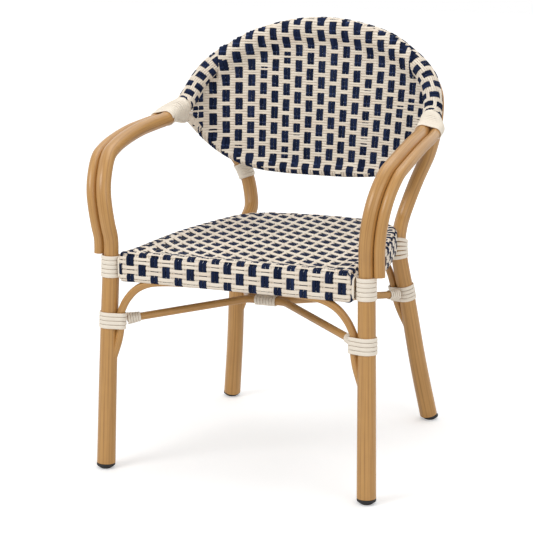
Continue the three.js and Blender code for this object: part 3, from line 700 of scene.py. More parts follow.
class CHAIR_OT_arms(bpy.types.Operator):
    """Builds the front legs with their arms and the outer arm tubes"""

    bl_idname = "chair.arms"
    bl_label = "Front legs and arms"

    def execute(self, context):
        outer_from = front_distance(SEAT_HEIGHT + OUTER_ARM_START_RISE)
        outer_to = taper_from + TAPER_LENGTH * OUTER_ARM_END_SHARE
        distances = np.linspace(outer_from, outer_to, 240)
        outer_line = beside(frame_route, distances, OUTER_ARM_LEAN, OUTER_ARM_DISTANCE)
        for side, sign in SIDES:
            inner = Route(frame_route.line * (sign, 1, 1), smooth=False)
            bent_rod(
                f"leg_and_arm_{side}", inner, GLIDE_HEIGHT, arm_to, front_leg_radius,
                f"front_leg_and_arm_{side}",
            )
            outer = Route(outer_line * (sign, 1, 1), smooth=False)
            bent_rod(
                f"outer_arm_tube_{side}", outer, 0, outer.length, lambda *_: OUTER_ARM_DIAMETER / 2,
                f"outer_arm_{side}",
            )
        return {"FINISHED"}


class CHAIR_OT_rear_hoop(bpy.types.Operator):
    """Builds the rear hoop with both rear legs"""

    bl_idname = "chair.rear_hoop"
    bl_label = "Rear hoop"

    def execute(self, context):
        foot = hoop_route.where(2, GLIDE_HEIGHT, 0, 0.1)
        bent_rod(
            "rear_hoop_tube", hoop_route, foot, hoop_route.length - foot, hoop_radius, "rear_hoop",
            section=0.008,
        )
        return {"FINISHED"}


def arch_route(leg, level, top, middle_depth):
    """From beside one leg's lower binding over to the other, with its tails along the legs."""
    route, distance_at = leg
    low, high = level - LOWER_BINDING_HEIGHT / 2, level + LOWER_BINDING_HEIGHT / 2

    def beside_leg(height, inset):
        axis = route.at(distance_at(height))
        gap = float(leg_diameter_at(height)) / 2 + ROD_DIAMETER / 2 + CLEARANCE
        return (axis[0] - gap + inset, axis[1], height)

    spring = beside_leg(high, 0)
    arch = [
        (spring[0] * side, middle_depth + (spring[1] - middle_depth) * side, high + (top - high) * height)
        for side, height in ARCH
    ]
    return both_halves([
        beside_leg(low - ARCH_TAIL_LENGTH, ROD_DIAMETER),
        beside_leg(low - ARCH_TAIL_LENGTH * ARCH_TAIL_BEND, ROD_DIAMETER / 4),
        beside_leg(low, 0),
        spring,
        *arch,
    ])


def lower_discs(level):
    """The leg and the arch rod inside a lower binding: side, depth and radius from the leg's middle."""
    radius = float(leg_diameter_at(level - LOWER_BINDING_HEIGHT / 2)) / 2 + CLEARANCE
    gap = -(radius + ROD_DIAMETER / 2 + CLEARANCE)
    return [(0, 0, radius + CLEARANCE), (gap, 0, ROD_DIAMETER / 2 + ROD_CLEARANCE + CLEARANCE)]


def brace_route(leg, level, side):
    """From one lower binding in to the middle of the seat and out to the other."""
    route, distance_at = leg
    axis = route.at(distance_at(level - BRACE_END_DROP))
    half_gap = (ROD_DIAMETER + ROD_CLEARANCE) / 2
    corner = np.array([CENTRE_BINDING_LENGTH / 2 + BRACE_BEND, BRACE_DEPTH + side * half_gap, BRACE_LEVEL])
    towards = unit(corner - axis)
    reach = max(x * towards[0] + y * towards[1] + r for x, y, r in lower_discs(level)) + BINDING_THICKNESS
    end = axis + towards * (reach + BRACE_END_GAP)
    flip = np.array([-1, 1, 1])
    return with_bends([end, corner, corner * flip, end * flip], BRACE_BEND / 2)


class CHAIR_OT_rods(bpy.types.Operator):
    """Builds the arch rods and the brace rods under the seat"""

    bl_idname = "chair.rods"
    bl_label = "Rods under the seat"

    def execute(self, context):
        arches, braces = [], []
        for place, (level, top, depth, way) in UNDER_SEAT.items():
            arches.append((f"{place}_arch", arch_route(LEGS[place], level, top, front_joint[1] + depth)))
            braces.append((f"{place}_brace", brace_route(LEGS[place], level, way)))
        for name, route in arches + braces:
            bent_rod(name, route, 0, route.length, lambda *_: ROD_DIAMETER / 2, f"{name}_rod", section=0.006)
        return {"FINISHED"}


class CHAIR_OT_glides(bpy.types.Operator):
    """Builds the black foot glides"""

    bl_idname = "chair.glides"
    bl_label = "Foot glides"

    def execute(self, context):
        for place, (route, _) in LEGS.items():
            for side, sign in SIDES:
                obj = self.glide()
                foot = route.at(0)
                obj.data.transform(Matrix.Translation((foot[0] * sign, foot[1], 0)))
                smoothed(obj, degrees=40)
                finish_piece(
                    obj, f"glide_{place}_{side}", "glide rubber", f"foot_glide_{place}_{side}"
                )
        return {"FINISHED"}

    def glide(self):
        """A disc whose smaller lower face is drawn in, with rounded rims."""
        radius, face = FOOT_DIAMETER / 2, GLIDE_FACE_DIAMETER / 2
        bpy.ops.object.select_all(action="DESELECT")
        bpy.ops.mesh.primitive_cylinder_add(
            vertices=48, radius=radius, depth=GLIDE_HEIGHT, location=(0, 0, GLIDE_HEIGHT / 2)
        )
        obj = bpy.context.object
        bpy.ops.object.transform_apply(location=True, rotation=True, scale=True)

        def outside(spot, reach):
            return math.hypot(spot.x, spot.y) > reach

        select_where(obj, "FACE", lambda spots: all(spot.z < GLIDE_NEAR for spot in spots))
        bpy.ops.mesh.extrude_region_move(TRANSFORM_OT_translate={"value": (0, 0, 0)})
        bpy.ops.transform.resize(value=(face / radius, face / radius, 1))
        select_where(
            obj, "VERT",
            lambda spots: spots[0].z < GLIDE_NEAR and outside(spots[0], face + GLIDE_BEYOND_FACE),
        )
        bpy.ops.transform.translate(value=(0, 0, GLIDE_HEIGHT * GLIDE_LIP_SHARE))
        select_where(
            obj, "EDGE",
            lambda ends: (
                abs(ends[0].z - ends[1].z) < GLIDE_NEAR and outside(ends[0], face - GLIDE_WITHIN_FACE)
            ),
        )
        bpy.ops.mesh.bevel(offset=GLIDE_ROUNDING, segments=3)
        bpy.ops.object.mode_set(mode="OBJECT")
        return obj


class CHAIR_OT_inner_tubes(bpy.types.Operator):
    """Gives the tubes inside the weave their finish"""

    bl_idname = "chair.inner_tubes"
    bl_label = "Inner tubes"

    def execute(self, context):
        for name in ("rim_tube", "back_lower_rail", "seat_front_rail", "seat_bent_rail"):
            paint(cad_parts[name], "inner tube")
        return {"FINISHED"}


# Strands of the weaves

# Gaps between crossing strands, under a row, between two uprights of a pair and between rows
STRAND_GAP = 0.00005
UNDER_GAP = 0.0001
PAIR_GAP = 0.0003
ROLL_PAIR_GAP = 0.0002
ROW_GAP = 0.0004
HEM_GAP = 0.0002

# Reach of the small bends of rows, of uprights and of the seat's rows
ROW_WANDER = 0.0003
UPRIGHT_WANDER = 0.0005
SEAT_WANDER = 0.0004

# Waves of those bends: how fast each runs, its shift from one strand to the next and its share
STRAND_WAVES = ((47, 2.13, 1), (131, 5.31, 0.6))

# Steps from one column to the next, and how far from a column's middle its check reaches
PER_COLUMN = 8
CHECK_REACH = PER_COLUMN // 4

# Rows from one place of an upright to the next
UPRIGHT_STEP = 1 / 3

# Width of a navy and of a cream upright, as shares of the pitch
BACK_SHARES = (0.285, 0.208)
ROLL_SHARES = (0.27, 0.223)
SEAT_SHARES = (0.362, 0.128)
SKIRT_SHARES = (0.306, 0.184)

# A navy column of the back or the roll passes under two cream rows in six
ROW_COUNT = 6
EVEN_OVER = 3
ODD_OVER = 0
BETWEEN_RISE = 0.6
TIGHT_WIDTH = 0.8

# Height of a navy strand through one check, in rows above the first cream row that crosses over it
CHECK_ROWS = (0, 1, 1.4, 1.67, 2, 2.33, 2.67, 3, 3.5, 4.5, 5, 5.33, 5.6, 6)
CHECK_RISE = (-1, -1, -0.7, 0.6, 1.4, 1.1, -0.2, 1.2, 1.6, 1.6, 1.3, 0.7, -0.7, -1)
# Row of the crease in the rise above, where the back's navy gets its painted highlight
CREASE_ROW = 2.67


def lift_of(thick):
    """How far a strand lies off the middle of the weave where it crosses another."""
    return thick / 2 + STRAND_GAP


def first_over(column):
    return EVEN_OVER if column % 2 == 0 else ODD_OVER


def row_over(row, column):
    """Whether a cream row passes over a navy column."""
    return (row - first_over(column)) % ROW_COUNT < 2


def wander(place, number, reach):
    """Small bends of a strand laid by hand, the same in each run."""
    waves = [share * np.sin(place * pace + number * shift) for pace, shift, share in STRAND_WAVES]
    return reach * sum(waves) / sum(share for *_, share in STRAND_WAVES)


def nearest_column(steps):
    """The column nearest to each step of a row, and how many steps away it is."""
    column = np.round(steps / PER_COLUMN).astype(int)
    return column, np.abs(steps - column * PER_COLUMN)


def row_rise(away, over, lift):
    """Height of a cream row: level over or under a navy column, and between them in the cream ones."""
    return np.where(away <= CHECK_REACH, np.where(over, lift, -lift), lift * BETWEEN_RISE)


def pinch(away, over, row, reach):
    """Draws the two rows over one column together. Gives their shift and their share of the width."""
    pair_low = (row % ROW_COUNT) in (EVEN_OVER, ODD_OVER)
    tight = over & (away <= CHECK_REACH)
    return np.where(tight, reach if pair_low else -reach, 0), np.where(tight, TIGHT_WIDTH, 1.0)


def navy_rise(place, column, lift):
    """Height of a navy upright at its places, counted in rows."""
    return np.interp((place - first_over(column)) % ROW_COUNT, CHECK_ROWS, CHECK_RISE) * lift


def cream_rise(thick):
    """Height of a cream upright: just under the rows that cross it."""
    return lift_of(thick) * BETWEEN_RISE - thick - UNDER_GAP


def uprights(half_columns, shares, pitch, gap=PAIR_GAP):
    """Gives each upright's half column, whether it is navy, its width and its place beside the middle."""
    for half_column in half_columns:
        is_navy = half_column % 2 == 0
        width = pitch * shares[0 if is_navy else 1]
        for side in (-1, 1):
            yield half_column, is_navy, width, side * (width + gap) / 2


def upright_section(is_navy, width, thick):
    return ribbed_section(width, thick) if is_navy else flat_section(width, thick)


def cane_bundles(seed):
    """Bundles for the cream rows, the navy uprights and the cream uprights of one weave."""
    return [Bundle(seed + number) for number in range(3)]


def keep_cane(place, bundles, replaced):
    for bundle, kind, colour in zip(bundles, ("rows", "navy", "cream"), ("cream", "navy", "cream")):
        bundle.piece(f"{place}_cane_{kind}", f"{colour} cane", "woven_cane", replaced)


# Woven back

# Level of its row 0, how its columns fan out above that, how far it reaches, and its rows and columns
BACK_LEVEL = 0.690
BACK_FAN = 0.236
BACK_REACH = 0.2695
BACK_ROWS = range(-30, 32)
BACK_UPRIGHT_ROWS = (-32, 34)
BACK_COLUMNS = 11
BACK_HALF_COLUMNS = range(-20, 21)
BACK_PINCH = 0.0007
BACK_OVERRUN = 0.1
BACK_TOP_SHARE = 1.02
LEAST_LEVEL_ROW = 0.6
LEAST_LEVEL_UPRIGHT = 0.55
LEAST_ROW_RUN = 5
LEAST_UPRIGHT_RUN = 4

# Places where a row and a column cross the wrong way round, and painted highlights at creases of the navy
SLIP_COUNT = 26
SLIP_REACH = 0.6
SLIP_RISE = 1.3
GLINT_REACH = 0.1
GLINT_TONE = 4
GLINT_MISS = 0.35

# Lower edge, which bulges over the rail and turns round it
HEM_LEAN = 2.2
HEM_STEEP = 0.5
HEM_ROOM = 0.012
HEM_RISE = 0.0088
HEM_FALL = 0.024
HEM_LEAST_LEVEL = 0.4
HEM_CORNERS = 28

# Middle part, which runs over the front of the roll
COVER_RADIUS = 0.0212
COVER_FALL = 0.046
COVER_END = 0.222
COVER_SHIFT = 0.006
COVER_FADE = 0.012
COVER_TOP = 0.86
COVER_LIMIT = 0.999

# Places, seen from the front, at which the roll's distance and depth are kept
GRID_X = np.linspace(-0.30, 0.30, 301)
GRID_Z = np.linspace(0.50, 0.90, 201)


def edge_lines():
    """Depth and height of the lower rail and of the rim, at places away from the middle."""
    away = np.linspace(0, BACK_REACH, 260)
    lines = []
    for route in (half_rail_route, half_rim_route):
        line = route.line[np.argsort(route.line[:, 0])]
        lines.append([np.interp(away, line[:, 0], line[:, axis]) for axis in (1, 2)])
    return away, lines


AWAY, ((RAIL_Y, RAIL_Z), (RIM_Y, RIM_Z)) = edge_lines()
RAIL_LEVEL_SHARE = 1 / np.hypot(1, np.gradient(RAIL_Z, AWAY))


def swell(distance, reach):
    """Falls from 1 to 0 over a reach, level at both ends."""
    return 0.5 + 0.5 * np.cos(math.pi * np.clip(distance / reach, 0, 1))


def near_roll():
    """For the grid's places seen from the front: how far the roll's middle line is, and its depth there."""
    line = half_rim_route.line[::3]
    line = np.vstack([line, line[::-1][1:] * (-1, 1, 1)])
    grid = np.stack(np.meshgrid(GRID_X, GRID_Z, indexing="ij"), -1).reshape(-1, 2)
    gaps = np.linalg.norm(grid[:, None] - line[None, :, [0, 2]], axis=-1)
    shape = (len(GRID_X), len(GRID_Z))
    return gaps.min(1).reshape(shape), line[gaps.argmin(1), 1].reshape(shape)


ROLL_GAP, ROLL_DEPTH = near_roll()


def on_grid(table, x, z):
    """Reads a table of the grid between its places."""
    column = np.clip((x - GRID_X[0]) / (GRID_X[1] - GRID_X[0]), 0, len(GRID_X) - 1.001)
    row = np.clip((z - GRID_Z[0]) / (GRID_Z[1] - GRID_Z[0]), 0, len(GRID_Z) - 1.001)
    i, j = column.astype(int), row.astype(int)
    u, v = column - i, row - j
    low = table[i, j] * (1 - u) + table[i + 1, j] * u
    high = table[i, j + 1] * (1 - u) + table[i + 1, j + 1] * u
    return low * (1 - v) + high * v


def back_depth(x, z):
    """Depth of the woven back, its share from rail to rim, and how near and how covered the roll is there."""
    away = np.abs(x)
    low_y, low_z, high_y, high_z = (np.interp(away, AWAY, line) for line in (RAIL_Y, RAIL_Z, RIM_Y, RIM_Z))
    share = (z - low_z) / (high_z - low_z)
    flat = low_y + (high_y - low_y) * np.clip(share, -BACK_OVERRUN, 1 + BACK_OVERRUN)
    rail_level = np.clip(np.interp(away, AWAY, RAIL_LEVEL_SHARE), HEM_LEAST_LEVEL, 1)
    flat = flat - HEM_RISE * swell(np.maximum(z - low_z, 0) * rail_level, HEM_FALL)
    roll_gap = on_grid(ROLL_GAP, x, z)
    gap = np.clip(roll_gap / COVER_RADIUS, 0, COVER_LIMIT)
    covered = swell(np.abs(x + COVER_SHIFT) - COVER_END + COVER_FADE, COVER_FADE)
    below = flat - COVER_RADIUS * swell(roll_gap, COVER_FALL)
    above = on_grid(ROLL_DEPTH, x, z) - COVER_RADIUS * np.sqrt(1 - gap**2)
    front = np.where(share < 1, below, above)
    return front * covered + flat * (1 - covered), share, gap, covered


def back_surface(x, z):
    """Point of the woven back, whether the weave is there, and its way out to the front."""
    step = 0.002
    y, share, gap, covered = back_depth(x, z)
    lean_x = (back_depth(x + step, z)[0] - back_depth(x - step, z)[0]) / (2 * step)
    lean_z = (back_depth(x, z + step)[0] - back_depth(x, z - step)[0]) / (2 * step)
    normal = unit(np.stack([lean_x, -np.ones_like(y), lean_z], -1))
    there = (share > 0) & np.where(covered > 0.5, (share < 1) | (gap < COVER_TOP), share < BACK_TOP_SHARE)
    return np.stack([x, y, z], -1), there, normal


def fanned(half_column, pitch, level):
    """Side of an upright of the back, which stands further out the higher it is."""
    return half_column / 2 * pitch * (1 + BACK_FAN * (level - BACK_LEVEL))


def runs(inside, least):
    """Unbroken stretches of a strand that lie inside."""
    where = np.nonzero(inside)[0]
    return [run for run in np.split(where, np.nonzero(np.diff(where) > 1)[0] + 1) if len(run) >= least]


class CHAIR_OT_back(bpy.types.Operator):
    """Weaves the back: cream rows over and under pairs of navy uprights"""

    bl_idname = "chair.back"
    bl_label = "Woven back"

    def execute(self, context):
        sizes = context.scene.chair_sizes
        bundles = cane_bundles(11)
        rows, navy, cream = bundles
        random = np.random.default_rng(5)
        slip_rows = random.integers(BACK_ROWS.start, BACK_ROWS.stop, SLIP_COUNT)
        slip_columns = random.integers(-BACK_COLUMNS, BACK_COLUMNS + 1, SLIP_COUNT)
        slips = {(int(row), int(column)) for row, column in zip(slip_rows, slip_columns)}
        self.weave_rows(rows, slips, sizes)
        self.weave_uprights(navy, cream, slips, random, sizes)
        self.hem(navy, cream, sizes.column_pitch, sizes.strand_thickness)
        keep_cane("back", bundles, "back_weave")
        return {"FINISHED"}

    def over(self, row, column, slips):
        return row_over(row, column) != ((row, column) in slips)

    def weave_rows(self, rows, slips, sizes):
        """Cream rows, each drawn close to its neighbour where two cross one navy column."""
        thick = sizes.strand_thickness
        row_section = flat_section(sizes.row_pitch - ROW_GAP, thick)
        for row in BACK_ROWS:
            z = BACK_LEVEL + row * sizes.row_pitch
            spread = sizes.column_pitch * (1 + BACK_FAN * (z - BACK_LEVEL))
            steps = np.arange(-BACK_COLUMNS * PER_COLUMN, BACK_COLUMNS * PER_COLUMN + 1)
            x = steps * spread / PER_COLUMN
            inside = np.abs(x) < BACK_REACH
            steps, x = steps[inside], x[inside]
            column, away = nearest_column(steps)
            is_over = np.array([self.over(row, value, slips) for value in column])
            shift, widths = pinch(away, is_over, row, BACK_PINCH)
            spots, there, normal = back_surface(x, z + shift + wander(x, row, ROW_WANDER))
            spots = spots + normal * row_rise(away, is_over, lift_of(thick))[:, None]
            widths = widths / np.clip(np.hypot(normal[:, 0], normal[:, 1]), LEAST_LEVEL_ROW, 1)
            for run in runs(there, LEAST_ROW_RUN):
                rows.add(row_section, spots[run], normal[run], widths=widths[run])

    def weave_uprights(self, navy, cream, slips, random, sizes):
        """Navy and cream uprights in pairs. Some creases of the navy ones get a painted highlight."""
        thick, pitch = sizes.strand_thickness, sizes.column_pitch
        lift = lift_of(thick)
        place = np.arange(*BACK_UPRIGHT_ROWS, UPRIGHT_STEP)
        z = BACK_LEVEL + place * sizes.row_pitch
        for half_column, is_navy, width, aside in uprights(BACK_HALF_COLUMNS, BACK_SHARES, pitch):
            column = half_column // 2
            x = fanned(half_column, pitch, z) + aside + wander(z, half_column, UPRIGHT_WANDER)
            spots, there, normal = back_surface(np.clip(x, -BACK_REACH, BACK_REACH), z)
            there &= np.abs(x) < BACK_REACH
            glint = np.zeros(len(place))
            rise = np.full(len(place), cream_rise(thick))
            if is_navy:
                rise = navy_rise(place, column, lift)
                phase = (place - first_over(column)) % ROW_COUNT
                # Painted highlight: a lighter tone at the crease of each check, left out at some at random
                glint[np.abs(phase - CREASE_ROW) < GLINT_REACH] = GLINT_TONE
                for row, slipped in slips:
                    if slipped == column:
                        slip_rise = -lift if self.over(row, column, slips) else lift * SLIP_RISE
                        rise[np.abs(place - row) < SLIP_REACH] = slip_rise
            spots = spots + normal * rise[:, None]
            widths = 1 / np.clip(np.abs(normal[:, 1]), LEAST_LEVEL_UPRIGHT, 1)
            glint *= random.random(len(place)) > GLINT_MISS
            section = upright_section(is_navy, width, thick)
            for run in runs(there, LEAST_UPRIGHT_RUN):
                (navy if is_navy else cream).add(
                    section, spots[run], normal[run], widths=widths[run], tones=glint[run]
                )

    def hem(self, navy, cream, pitch, thick):
        """Turns the uprights under the lower rail and up behind it, and winds cream cane round its ends."""
        radius = LOWER_RAIL_DIAMETER / 2 + CLEARANCE + thick / 2
        turn = np.linspace(0, 2 * math.pi, HEM_CORNERS, endpoint=False)
        rail_x = -lower_rail_route.line[:, 0]

        def loop(distance, square, bundle, section):
            heading = lower_rail_route.heading(distance)
            lean = 0 if square else np.clip(1 / heading[0], -HEM_LEAN, HEM_LEAN)
            first = square_to(-DEPTH, heading)
            outward = first * np.cos(turn)[:, None] + np.cross(heading, first) * np.sin(turn)[:, None]
            distances = distance - radius * outward[:, 0] * lean
            outward = square_to(outward, lower_rail_route.heading(distances))
            spots = lower_rail_route.at(distances) + outward * radius
            onward = unit(np.roll(spots, -1, 0) - np.roll(spots, 1, 0))
            level = np.clip(np.abs(np.cross(onward, outward)[:, 0]), LEAST_LEVEL_UPRIGHT, 1)
            bundle.add(section, spots, outward, closed=True, widths=None if square else 1 / level)

        far = 0
        for half_column, is_navy, width, aside in uprights(BACK_HALF_COLUMNS, BACK_SHARES, pitch):
            level = np.interp(abs(half_column / 2 * pitch), AWAY, RAIL_Z)
            x = fanned(half_column, pitch, level) + aside
            distance = float(np.interp(-x, rail_x, lower_rail_route.reach))
            steep = abs(lower_rail_route.heading(distance)[0]) < HEM_STEEP
            if abs(x) > BACK_REACH or steep:
                continue
            far = max(far, abs(distance - lower_rail_route.length / 2))
            section = upright_section(is_navy, width - HEM_GAP, thick)
            loop(distance, False, navy if is_navy else cream, section)
        width = pitch * BACK_SHARES[1]
        section = flat_section(width - HEM_GAP, thick)
        for place in np.arange(far + width, lower_rail_route.length / 2 - HEM_ROOM, width):
            for sign in (-1, 1):
                loop(lower_rail_route.length / 2 + sign * place, True, cream, section)


# Woven roll of the rim

ROLL_ROWS = 24
ROLL_THICK_SHARE = 0.94
ROLL_START_GAP = 0.0009
ROLL_END_ROOM = 0.004
ROLL_PINCH = 0.0006


class CHAIR_OT_rim(bpy.types.Operator):
    """Weaves the roll round the rim: navy and cream loops under long cream strands"""

    bl_idname = "chair.rim"
    bl_label = "Woven rim"

    def execute(self, context):
        sizes = context.scene.chair_sizes
        thick = sizes.strand_thickness * ROLL_THICK_SHARE
        lift = lift_of(thick)
        middle_radius = RIM_DIAMETER / 2 - thick - lift / 2
        start = taper_to + ROLL_START_GAP
        end = frame_route.length - start
        middle = frame_route.length / 2
        columns = round((end - start) / sizes.column_pitch / 2) * 2
        pitch = (end - start) / (columns + 0.5)
        bundles = cane_bundles(21)
        rows, navy, cream = bundles

        def frame_at(distance):
            heading = frame_route.heading(distance)
            first = square_to(ROLL_LEAN, heading)
            return frame_route.at(distance), first, np.cross(heading, first)

        reach = int((columns + 0.5) / 2 * PER_COLUMN)
        steps = np.arange(-reach, reach + 1)
        centres, first, second = frame_at(middle + steps * pitch / PER_COLUMN)
        column, away = nearest_column(steps)
        section = flat_section(2 * math.pi * middle_radius / ROLL_ROWS - ROW_GAP, thick)
        for row in range(ROLL_ROWS):
            is_over = np.array([row_over(row, value) for value in column])
            shift, widths = pinch(away, is_over, row, ROLL_PINCH)
            angle = (2 * math.pi * row / ROLL_ROWS + shift / middle_radius)[:, None]
            outward = first * np.cos(angle) + second * np.sin(angle)
            rise = row_rise(away, is_over, lift)
            rows.add(section, centres + outward * (middle_radius + rise)[:, None], outward, widths=widths)
        place = np.arange(0, ROLL_ROWS, UPRIGHT_STEP)
        angles = (2 * math.pi * place / ROLL_ROWS)[:, None]
        half_columns = range(-columns, columns + 1)
        for half_column, is_navy, width, aside in uprights(half_columns, ROLL_SHARES, pitch, ROLL_PAIR_GAP):
            distance = middle + half_column / 2 * pitch + aside
            if not start + ROLL_END_ROOM < distance < end - ROLL_END_ROOM:
                continue
            centre, first_way, second_way = frame_at(distance)
            outward = first_way * np.cos(angles) + second_way * np.sin(angles)
            rise = np.full(len(place), cream_rise(thick))
            if is_navy:
                rise = navy_rise(place, half_column // 2, lift)
            spots = centre + outward * (middle_radius + rise)[:, None]
            strand = upright_section(is_navy, width, thick)
            (navy if is_navy else cream).add(strand, spots, outward, closed=True)
        keep_cane("rim", bundles, "rim_weave")
        core_radius = middle_radius - lift * 2 - thick * 1.5
        bent_rod(
            "rim_core", frame_route, start, end, lambda *_: core_radius, "rim_weave",
            section=0.010, material="inner tube",
        )
        return {"FINISHED"}


# Woven seat

# Rounded edge, the flare of its front corners, the roll of the front edge, and the sag of the middle
SEAT_EDGE = 0.0115
FRONT_FLARE = 0.0065
FLARE_LENGTH = 0.09
CROWN_HEIGHT = 0.0080
CROWN_WIDTH = 0.050
CROWN_DEPTH_SHARE = 0.8
SEAT_SAG = 0.002
EDGE_DIP = 0.0030
EDGE_DIP_WIDTH = 0.007

# Places of the first column and check, and more rows and columns than the seat can hold
SEAT_FIRST_COLUMN = 0.0075
SEAT_FIRST_CHECK = 0.1040
SEAT_EDGE_LAP = 0.003
SEAT_ROW_GAP = 0.0003
SHORTEST_STRAND = 0.02
SEAT_ROWS = range(-32, 56)
SEAT_COLUMNS = range(-12, 13)

# Places along a slanting row between two columns, and how far from a column's middle it lies level
ROW_BENDS = np.array((-0.395, -0.362, -0.18, 0, 0.18, 0.362, 0.395, 0.5))
SEAT_CHECK_REACH = 0.37
SEAT_PINCH = 0.0016
SEAT_TIGHT_WIDTH = 0.74

# Height of a navy strand of the seat over four rows
SEAT_CHECK_ROWS = (0, 0.15, 0.6, 1, 1.4, 1.85, 2, 2.15, 3.85, 4)
SEAT_CHECK_RISE = (0, 0.7, 1.4, 1.5, 1.4, 0.7, 0, -1, -1, 0)


def turned(vectors):
    """Leans vectors back with the seat."""
    cosine, sine = math.cos(seat_tilt), math.sin(seat_tilt)
    x, y, z = vectors[..., 0], vectors[..., 1], vectors[..., 2]
    return np.stack([x, y * cosine - z * sine, y * sine + z * cosine], -1)


def to_seat(spots):
    """From the seat's own frame, level with its front rail, to the chair's."""
    cosine, sine = math.cos(seat_tilt), math.sin(seat_tilt)
    x, y, z = spots[..., 0], spots[..., 1], spots[..., 2]
    return np.stack([x, front_joint[1] + y * cosine - z * sine, front_joint[2] + y * sine + z * cosine], -1)


def seat_outline(outset, corner=0.006):
    """Closed outline of the seat, from the middle of its front to the right, outside its rails."""
    half = Route([(side * SEAT_HALF_WIDTH, depth * SEAT_DEPTH, 0) for side, depth in SEAT_PLAN])
    distances = np.linspace(0, half.length, 240)
    heading = half.heading(distances)
    out = outset + FRONT_FLARE * np.clip(1 - distances / FLARE_LENGTH, 0, 1) ** 2
    line = half.at(distances) + np.stack([heading[:, 1], -heading[:, 0], heading[:, 2]], -1) * out[:, None]
    line = line[line[:, 1] > corner - outset]
    side = line[0][0]
    angles = np.linspace(-math.pi / 2, 0, 9)
    corner_line = np.stack(
        [side - corner + corner * np.cos(angles), -outset + corner + corner * np.sin(angles), 0 * angles], -1
    )
    front_x = np.linspace(0, side - corner, 30)[:-1]
    front = np.stack([front_x, np.full_like(front_x, -outset), np.zeros_like(front_x)], -1)
    right = np.vstack([front, corner_line, line])
    left = right[::-1][1:] * (-1, 1, 1)
    return Route(np.vstack([right, left]), smooth=False)


def chord(outline, origin, heading):
    """Where a straight line enters and leaves a closed outline, or None where that is too short."""
    line = outline.line[:, :2]
    onward = np.roll(line, -1, 0) - line
    cross = heading[0] * onward[:, 1] - heading[1] * onward[:, 0]
    gap = line - origin
    with np.errstate(divide="ignore", invalid="ignore"):
        along = (gap[:, 0] * onward[:, 1] - gap[:, 1] * onward[:, 0]) / cross
        share = (gap[:, 0] * heading[1] - gap[:, 1] * heading[0]) / cross
    hits = along[np.isfinite(along) & (share >= 0) & (share < 1)]
    if len(hits) < 2 or hits.max() - hits.min() < SHORTEST_STRAND:
        return None
    return hits.min(), hits.max()


def crown(y):
    """How much the rolled edge rises above the rails: most at the front."""
    return CROWN_HEIGHT * np.clip(1 - y / (SEAT_DEPTH * CROWN_DEPTH_SHARE), 0, 1)


def seat_height(x, y, line):
    """Height of the woven top over its level: rolled edge, sag and the dip into the edge's weave."""
    from_edge = np.sqrt(((x[:, None] - line[None, :, 0]) ** 2 + (y[:, None] - line[None, :, 1]) ** 2).min(1))
    across = 1 - np.clip(x / SEAT_HALF_WIDTH, -1, 1) ** 2
    back = 1 - np.clip(2 * y / SEAT_DEPTH - 1, -1, 1) ** 2
    roll = 1 - np.clip(from_edge / CROWN_WIDTH, 0, 1)
    dip = EDGE_DIP * (1 - np.clip(from_edge / EDGE_DIP_WIDTH, 0, 1)) ** 2
    return crown(y) * roll**2 * (3 - 2 * roll) - SEAT_SAG * across * back - dip


